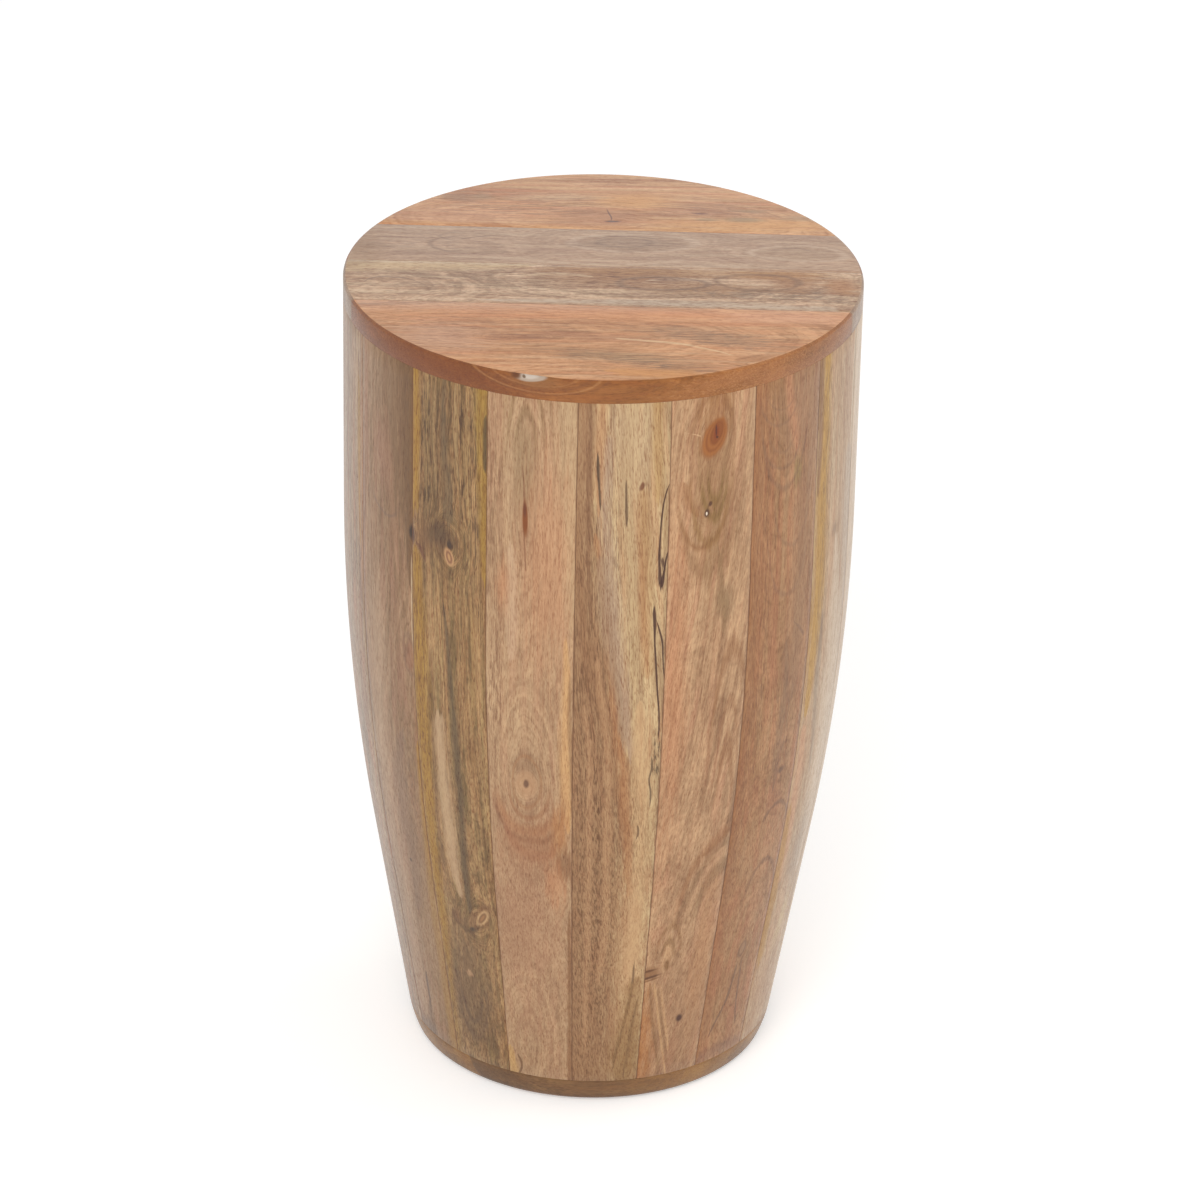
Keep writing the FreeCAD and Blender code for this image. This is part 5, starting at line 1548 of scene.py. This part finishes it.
TOP_WOOD = [
    dict(
        light="#efc192",
        dark="#a56404",
        rings=[((78, 5), 3.0, 0), ((165, -60), 7, 0)],
        drift=0.55,
        pale="#d9b07c",
        blush="#d28c56",
        band=0.6,
        line=0.35,
        streak=0.4,
        blotch=0.8,
        mottle=0.3,
        spread=6,
        fibre=0.3,
        waver=6.0,
        patch=("#cf965c", 0.55),
        knots=[((78, 5), (7, 10), 0)],
        marks=[
            ("oval", (80, -2), (14, 26), 0, 0.7, "#b3794a", 0.6),
            ("oval", (96, 68), (12, 28), 0, 0.8, "#b57d4e", 0.6),
            ("oval", (108, 18), (10, 20), 0, 0.8, "#dca25c", 0.85),
            ("oval", (76, 90), (9, 46), 0, 0.8, "#dca35e", 0.8),
            ("oval", (82, -90), (12, 40), 0, 0.8, "#d39b70", 0.6),
            ("oval", (114, -30), (5, 24), 0, 0.7, "#dcb58a", 0.7),
            ("oval", (112, -90), (7, 10), 0, 0.7, "#9c6a3a", 0.7),
            ("oval", (114, -76), (5, 5), 0, 0.8, "#9c7a4c", 0.5),
            ("flecks", (95, 66), (12, 34), 0, 0.6, "#96623a", 0.5),
            ("flecks", (100, -60), (20, 60), 0, 0.7, "#9c6e46", 0.5),
            ("oval", (84, 84), (3.6, 9), 0, 0.8, "#98825c", 0.6),
            ("oval", (83, 62), (2.2, 5), 0, 0.8, "#98825c", 0.55),
            ("oval", (98, 88), (2.2, 10), 0, 0.8, "#98825c", 0.5),
            ("oval", (92, 58), (1.4, 4), 0, 0.6, "#7c4628", 0.8),
            ("oval", (88, 118), (3, 10), 0, 0.8, "#a58a66", 0.5),
            ("clean", (78, 5), (1.3, 4.6), 0, 0.5, "#5c2c08", 0.9),
            ("clean", (87, 3), (8.5, 0.55), 6, 0.5, "#6f3a10", 0.85),
        ],
    ),
    dict(
        light="#d2b192",
        dark="#a68264",
        rings=[((45, 16), 2.6, 0), ((35, 116), 2.2, 0), ((34, -112), 4, 0)],
        drift=0.35,
        pale="#d0b89c",
        blush="#b49078",
        band=0.6,
        line=0.28,
        streak=0.4,
        blotch=0.5,
        mottle=0.4,
        spread=4.6,
        fibre=0.36,
        wander=4,
        waver=6.0,
        marks=[
            ("loop", (45, 17), (12.5, 37), 1.2, 0.8, "#d2b69c", 0.7),
            ("oval", (45, 17), (11, 33), 0, 0.5, "#9c7a58", 0.32),
            ("oval", (44, 20), (5, 20), 0, 0.8, "#ab8c72", 0.6),
            ("flecks", (44, 14), (10, 30), 0, 0.6, "#8c6b50", 0.5),
            ("loop", (45, 12), (6, 16), 0.8, 0.9, "#8e6f56", 0.5),
            ("line", [(-10, 40, 0.5), (-4, 50, 0.7), (8, 54, 0.8), (24, 53, 0.7), (36, 48, 0.5)], 0.6, "#8a6a52", 0.55),
            ("loop", (35, 117), (12.0, 27), 1.1, 0.8, "#d2b69c", 0.7),
            ("oval", (35, 117), (10.6, 24), 0, 0.5, "#a2825e", 0.3),
            ("line", [(96, 36, 0.4), (104, 41, 0.6), (114, 43, 0.7), (124, 40, 0.6), (130, 35, 0.4)], 0.6, "#8f705a", 0.45),
            ("streak", [(-95, 21, 1.4), (-60, 19, 1.8), (-25, 14, 1.8), (10, 13, 1.6), (38, 19, 1.8), (52, 21, 2.2)], 0.8, "#cfb295", 0.7),
            ("cup", (50, -86), (7, 12), 0.6, 0.8, "#86664b", 0.35),
            ("cup", (38, -70), (14, 34), 0.6, 0.7, "#8a6a50", 0.5),
            ("line", [(-88, 44, 0.5), (-76, 50, 0.7), (-66, 52, 0.6)], 0.6, "#86664b", 0.6),
            ("oval", (30, -142), (20, 12), 0, 0.8, "#a17c55", 0.7),
            ("flecks", (40, -110), (22, 40), 0, 0.7, "#856650", 0.4),
        ],
    ),
    dict(
        light="#e3c2a1",
        dark="#a17d5a",
        rings=[((-9, 34), 2.8, 0), ((-28, -132), 1.8, 0)],
        drift=0.45,
        pale="#dcc4a2",
        blush="#ae8050",
        band=0.45,
        line=0.2,
        streak=0.9,
        blotch=0.6,
        mottle=0.9,
        spread=3.4,
        fibre=0.55,
        wander=4,
        waver=7.0,
        knots=[((-9, 36), (8, 12), 0)],
        marks=[
            ("streak", [(-170, 5, 8), (-110, 6, 7), (-70, 7, 5), (-35, 9, 2)], 0.7, "#d7ba90", 0.85),
            ("oval", (-6, 10), (13, 42), 0, 0.8, "#a57034", 0.8),
            ("oval", (3, 104), (9, 28), 0, 0.7, "#b5813f", 0.9),
            ("oval", (-14, 110), (14, 13), 0, 0.8, "#ab7840", 0.8),
            ("oval", (-14, 144), (12, 10), 0, 0.7, "#b57f45", 0.85),
            ("oval", (-22, 62), (9, 26), 0, 0.8, "#a9793f", 0.6),
            ("oval", (4, 40), (6, 60), 0, 0.8, "#b2803f", 0.6),
            ("flecks", (-8, 30), (16, 60), 0, 0.6, "#855626", 0.6),
            ("flecks", (-29, 98), (8, 50), 0, 0.6, "#6b543c", 0.7),
            ("flecks", (-18, -80), (22, 60), 0, 0.7, "#7a5834", 0.45),
            ("streak", [(-45, -6, 0.8), (-25, -4, 1.6), (-5, -8, 0.8)], 0.8, "#d2b593", 0.7),
            ("streak", [(20, -12, 0.8), (45, -8, 2.0), (70, -12, 1.0)], 0.9, "#cfb498", 0.7),
            ("streak", [(-70, -42, 1.5), (0, -43, 4), (70, -44, 4), (140, -46, 3)], 0.9, "#cdb9a2", 0.7),
            ("line", [(-142, -22, 0.5), (-134, -14, 0.7), (-122, -12, 0.8), (-110, -18, 0.8), (-106, -28, 0.6)], 0.6, "#86694f", 0.6),
            ("oval", (-9, 38), (4, 7), 0, 0.6, "#8c6038", 0.7),
            ("loop", (-14, 34), (9, 26), 0.9, 0.9, "#7f5c3c", 0.6),
            ("loop", (-10, 90), (13, 24), 1.2, 0.9, "#8a6238", 0.6),
            ("oval", (8, -150), (10, 14), 0, 0.8, "#a5855c", 0.5),
        ],
    ),
    dict(
        light="#dfaa79",
        dark="#ad7840",
        rings=[((-92, -46), 3.2, 0), ((-175, 70), 3.6, -8)],
        drift=0.45,
        pale="#dcb48c",
        blush="#d48c58",
        band=0.6,
        line=0.35,
        streak=0.7,
        blotch=0.7,
        mottle=0.5,
        spread=4.6,
        fibre=0.32,
        waver=6.0,
        patch=("#d29a66", 0.5),
        knots=[((-93, -48), (6, 16), 0)],
        marks=[
            ("oval", (-60, 10), (9, 120), 0, 0.8, "#dd9c66", 0.65),
            ("oval", (-60, 110), (8, 34), 0, 0.8, "#dfab86", 0.7),
            ("oval", (-96, -92), (18, 26), 0, 0.8, "#cba083", 0.6),
            ("oval", (-93, -49), (4.0, 20), 3, 0.5, "#a8703f", 0.8),
            ("streak", [(-40, -86, 2), (0, -92, 4), (40, -98, 3)], 0.9, "#b27a4c", 0.6),
            ("flecks", (-88, 62), (9, 42), -14, 0.7, "#775a3a", 0.7),
            ("flecks", (-99, 66), (4, 28), -16, 0.6, "#7d6042", 0.6),
            ("oval", (-90, 62), (8, 36), -14, 0.9, "#a57e58", 0.55),
            ("flecks", (-121, 12), (7, 40), -10, 0.7, "#74583a", 0.7),
            ("oval", (-120, 12), (7, 38), -10, 0.9, "#a3825a", 0.6),
            ("flecks", (-132, 40), (5, 24), -12, 0.7, "#7a5c3e", 0.8),
            ("streak", [(2, -91, 0.6), (25, -96, 1.2), (50, -102, 1.2), (74, -116, 0.7)], 0.7, "#e2c095", 0.75),
            ("streak", [(0, -138, 2), (20, -141, 5), (60, -139, 4)], 0.9, "#d2964f", 0.7),
            ("flecks", (-80, -70), (24, 60), 0, 0.8, "#91623c", 0.4),
        ],
    ),
]
EDGE_WOOD = dict(
    light="#ab6f32",
    dark="#855212",
    band=0.4,
    line=0.2,
    streak=0.5,
    blotch=0.9,
    mottle=0.3,
    spread=4,
    fibre=0.3,
    wander=1.5,
    waver=4.0,
    through=1e5,
    drift=0.25,
    blush="#a5622e",
    pale="#ab7440",
)
EDGE_MARKS = [
    {},
    {},
    # The third board's edge shows at the left and right ends of the top. Its paler, greyer colour is partly its end
    # grain and partly a painted sheen.
    dict(light="#b79a80", dark="#7f6349", blush="#a98468", pale="#c0a68a"),
    dict(
        rings=[((511, -38), 3.2, 0), ((470, 60), 9, 0)],
        marks=[
            ("oval", (496, -95), (14, 55), 0, 0.9, "#7a3f08", 0.75),
            ("flecks", (496, 90), (14, 45), 0, 0.8, "#c4935c", 0.5),
            ("oval", (500, 78), (5, 26), 6, 0.9, "#b98050", 0.5),
            ("oval", (492, 108), (5, 22), -6, 0.9, "#b98050", 0.45),
            ("loop", (512, -36), (18, 41), 0.4, 0.9, "#c08f5c", 0.4),
            ("loop", (513, -35), (19.5, 46), 0.4, 0.9, "#7c4a1c", 0.4),
            ("loop", (512, -36), (16, 36), 0.8, 0.9, "#84501f", 0.5),
            ("loop", (512, -37), (14, 30), 0.35, 0.9, "#b88654", 0.35),
            ("clean", (501.6, -37), (4.6, 13), 0, 0.6, "#94683c", 0.6),
            ("clean", (502.8, -39), (2.4, 8.6), 8, 0.2, "#b5a494", 0.9),
            ("clean", (503.2, -40), (1.4, 5.0), 8, 0.4, "#c9bcae", 0.8),
            ("clean", (502.8, -48.0), (1.6, 2.5), 0, 0.6, "#6a3c10", 0.95),
            ("clean", (502.6, -43.5), (0.8, 1.0), 0, 0.4, "#6d5236", 0.9),
        ],
    ),
]


def finish_disc(boards, faces, edges, label, thick):
    """Gives each board of a disc a finish for its faces and a darker one for its turned edge."""
    for index, board in enumerate(boards):
        flat = mango(
            f"lacquered_mango_{label}_{index + 1}", FLAT_AXES, 30 + index, through=1.0, **faces[index]
        )
        edge = mango(
            f"lacquered_mango_{label}_edge_{index + 1}",
            EDGE_AXES,
            40 + index,
            **{**EDGE_WOOD, **edges[index]},
        )
        board.data.materials.append(flat)
        board.data.materials.append(edge)
        # Faces leaning outwards past 0.35 take the darker edge finish. On the top this covers most of the 2 mm
        # roundover, where the darker colour is painted shade over the highlight it catches from above.
        for face in board.data.polygons:
            outward = Vector((*face.center.xy, 0)).normalized()
            if face.normal.dot(outward) > 0.35:
                face.material_index = 1


for character in TOP_WOOD:
    character["depth"] = 470.0
finish_disc(top_boards, TOP_WOOD, EDGE_MARKS, "top", 14)

# %% Finish the base
BASE_FACES = [
    dict(light="#b89370", dark="#8f6c4c", rings=[((90, 20), 5, 0)], depth=-20.0),
    dict(light="#c09a78", dark="#9a7452", rings=[((20, -40), 5, 0)], depth=-20.0),
    dict(light="#ab8a6b", dark="#836448", rings=[((-40, 50), 6, 0)], depth=-20.0),
    dict(light="#b99474", dark="#916d4e", rings=[((-100, 0), 6, 0)], depth=-20.0),
]
BASE_EDGES = [
    dict(light="#94704a", dark="#6b4d2f", blush="#8c5f36", pale="#98774c"),
    dict(light="#94704a", dark="#6b4d2f", blush="#8c5f36", pale="#98774c"),
    dict(light="#ac824a", dark="#825e34", blush="#9c6c3c", pale="#b08a50"),
    dict(
        light="#967046",
        dark="#6e4d2c",
        blush="#8e6236",
        pale="#9c7a4a",
        rings=[((-10, 0), 8, 0)],
        marks=[
            ("oval", (9, 95), (20, 55), 0, 0.9, "#b08246", 0.6),
            ("oval", (3, -85), (14, 42), 0, 0.9, "#64492c", 0.55),
            ("flecks", (3, -40), (12, 50), 0, 0.8, "#5f4527", 0.5),
        ],
    ),
]
finish_disc(base_boards, BASE_FACES, BASE_EDGES, "base", 15)

# %% Finish the rings inside
ring_board = mango("plain_mango_rings", FLAT_AXES, 60, light="#b08d6c", dark="#8b694b")
for name in ("upper_ring", "lower_ring"):
    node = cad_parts[name]
    node.data.materials.clear()
    node.data.materials.append(ring_board)

# %% [markdown]
# ## Screws and glides
#
# The screws are zinc-plated steel: bright, with a fine brushed grain and a little
# dullness where the plating is uneven. The glides are moulded polyethylene, dark
# grey-brown and matt, with a faint pebbled skin.

# %% Zinc-plated steel and moulded plastic
def zinc_plated(name):
    """Zinc-plated steel: the plating gives fine uneven dullness over a bright metal."""
    material = bpy.data.materials.new(name)
    material.use_nodes = True
    tree = material.node_tree
    shader = tree.nodes["Principled BSDF"]
    coordinates = add(tree, "TexCoord", out="Object")
    cloud = add(tree, "TexNoise", {"Vector": coordinates, "Scale": 900.0, "Detail": 3.0})
    colour = add(
        tree, "Mix", {0: cloud, 6: linear("#a8a9a6"), 7: linear("#c9c6bb")}, out=2, data_type="RGBA"
    )
    tree.links.new(colour, shader.inputs["Base Color"])
    dull = add(tree, "MapRange", (cloud, 0.3, 0.7, 0.22, 0.42))
    tree.links.new(dull, shader.inputs["Roughness"])
    shader.inputs["Metallic"].default_value = 1.0
    return material


def moulded_plastic(name):
    """Moulded polyethylene: matt, with a skin of fine pebbles about 0.4 mm wide."""
    material = bpy.data.materials.new(name)
    material.use_nodes = True
    tree = material.node_tree
    shader = tree.nodes["Principled BSDF"]
    coordinates = add(tree, "TexCoord", out="Object")
    pebbles = add(tree, "TexVoronoi", {"Vector": coordinates, "Scale": 2500.0})
    cloud = add(tree, "TexNoise", {"Vector": coordinates, "Scale": 300.0, "Detail": 2.0})
    colour = add(
        tree, "Mix", {0: cloud, 6: linear("#2d2926"), 7: linear("#3c3732")}, out=2, data_type="RGBA"
    )
    tree.links.new(colour, shader.inputs["Base Color"])
    bump = add(tree, "Bump", {"Strength": 0.3, "Distance": 0.00005, "Height": pebbles})
    tree.links.new(bump, shader.inputs["Normal"])
    shader.inputs["Roughness"].default_value = 0.55
    shader.inputs["IOR"].default_value = 1.5
    return material


zinc = zinc_plated("zinc_plated_steel")
for piece in (base_screws, top_screws):
    piece.data.materials.append(zinc)
plastic = moulded_plastic("moulded_polyethylene")
for piece in glides:
    piece.data.materials.append(plastic)
print("materials:", len(bpy.data.materials))

# %% [markdown]
# ## Floor, light and camera
#
# The drum stands on a plain white floor in a white room, as on a studio sweep: the
# room itself gives an even light, and the polished flanks mirror it and turn pale.
# Two wide soft lamps, one high in front and one to the right, give the roundness.
# The camera looks down at 27 degrees through a long lens, so the side's lines
# hardly converge.

# %% White floor and white room
bpy.ops.object.select_all(action="DESELECT")
bpy.ops.mesh.primitive_circle_add(vertices=96, radius=6, fill_type="NGON", location=(0, 0, 0))
floor = bpy.context.object
floor.name = "studio_floor"
sweep = bpy.data.materials.new("white_sweep")
sweep.use_nodes = True
sweep_tree = sweep.node_tree
paint = sweep_tree.nodes["Principled BSDF"]
paint.inputs["Base Color"].default_value = linear("#f4f3f1")
paint.inputs["Roughness"].default_value = 0.9
paint.inputs["Emission Color"].default_value = (1, 1, 1, 1)
glow = add(sweep_tree, "LightPath", out="Is Camera Ray")
glow = add(sweep_tree, "Math", (glow, 0.32), operation="MULTIPLY")
mirror = add(sweep_tree, "LightPath", out="Is Glossy Ray")
glow = add(sweep_tree, "Math", (mirror, 0.12, glow), operation="MULTIPLY_ADD")
sweep_tree.links.new(glow, paint.inputs["Emission Strength"])
floor.data.materials.append(sweep)

room = bpy.data.worlds.new("white_room")
bpy.context.scene.world = room
room.use_nodes = True
room_tree = room.node_tree
air = room_tree.nodes["Background"]
air.inputs["Color"].default_value = (1, 1, 1, 1)
seen = add(room_tree, "LightPath", out="Is Camera Ray")
mirrored = add(room_tree, "LightPath", out="Is Glossy Ray")
white = add(room_tree, "Math", (seen, mirrored), operation="MAXIMUM")
strength = add(room_tree, "MapRange", (white, 0.0, 1.0, 0.62, 1.0))
room_tree.links.new(strength, air.inputs["Strength"])


# %% Two soft lamps
def soft_lamp(name, place, target, size, power):
    """A wide square lamp at a place, facing a target."""
    lamp = bpy.data.lights.new(name, "AREA")
    lamp.size = size
    lamp.energy = power
    holder = bpy.data.objects.new(name, lamp)
    bpy.context.scene.collection.objects.link(holder)
    holder.location = place
    facing = Vector(target) - Vector(place)
    holder.rotation_euler = facing.to_track_quat("-Z", "Y").to_euler()
    holder.visible_glossy = False
    return holder


soft_lamp("front_softbox", (-0.6, -2.8, 2.1), (0, 0, 0.25), 2.2, 62)
soft_lamp("right_softbox", (2.6, 0.9, 1.4), (0, 0, 0.25), 2.4, 22)

# %% Camera
AIM = Vector((0, 0, 253.7 * MM))
DISTANCE = 3.283
ELEVATION = math.radians(27.46)
ROLL = math.radians(1.14)
IMAGE = 1200
FOCAL = 5395

back = Vector((0, -math.cos(ELEVATION), math.sin(ELEVATION)))
up = Vector((0, math.sin(ELEVATION), math.cos(ELEVATION)))
right = Vector((1, 0, 0))
rolled_right = math.cos(ROLL) * right + math.sin(ROLL) * up
rolled_up = -math.sin(ROLL) * right + math.cos(ROLL) * up
look = -back + rolled_right * (3.9 / FOCAL) + rolled_up * (50.8 / FOCAL)

lens = bpy.data.cameras.new("long_lens")
lens.sensor_width = 36
lens.lens = 36 * FOCAL / IMAGE
camera = bpy.data.objects.new("camera", lens)
bpy.context.scene.collection.objects.link(camera)
z_axis = -look.normalized()
x_axis = (rolled_right - z_axis * rolled_right.dot(z_axis)).normalized()
y_axis = z_axis.cross(x_axis)
camera.matrix_world = Matrix.LocRotScale(
    AIM + back * DISTANCE, Matrix((x_axis, y_axis, z_axis)).transposed(), None
)
bpy.context.scene.camera = camera
bpy.context.scene.view_settings.view_transform = "Standard"
print("lens", round(lens.lens, 1), "mm at", DISTANCE, "m")
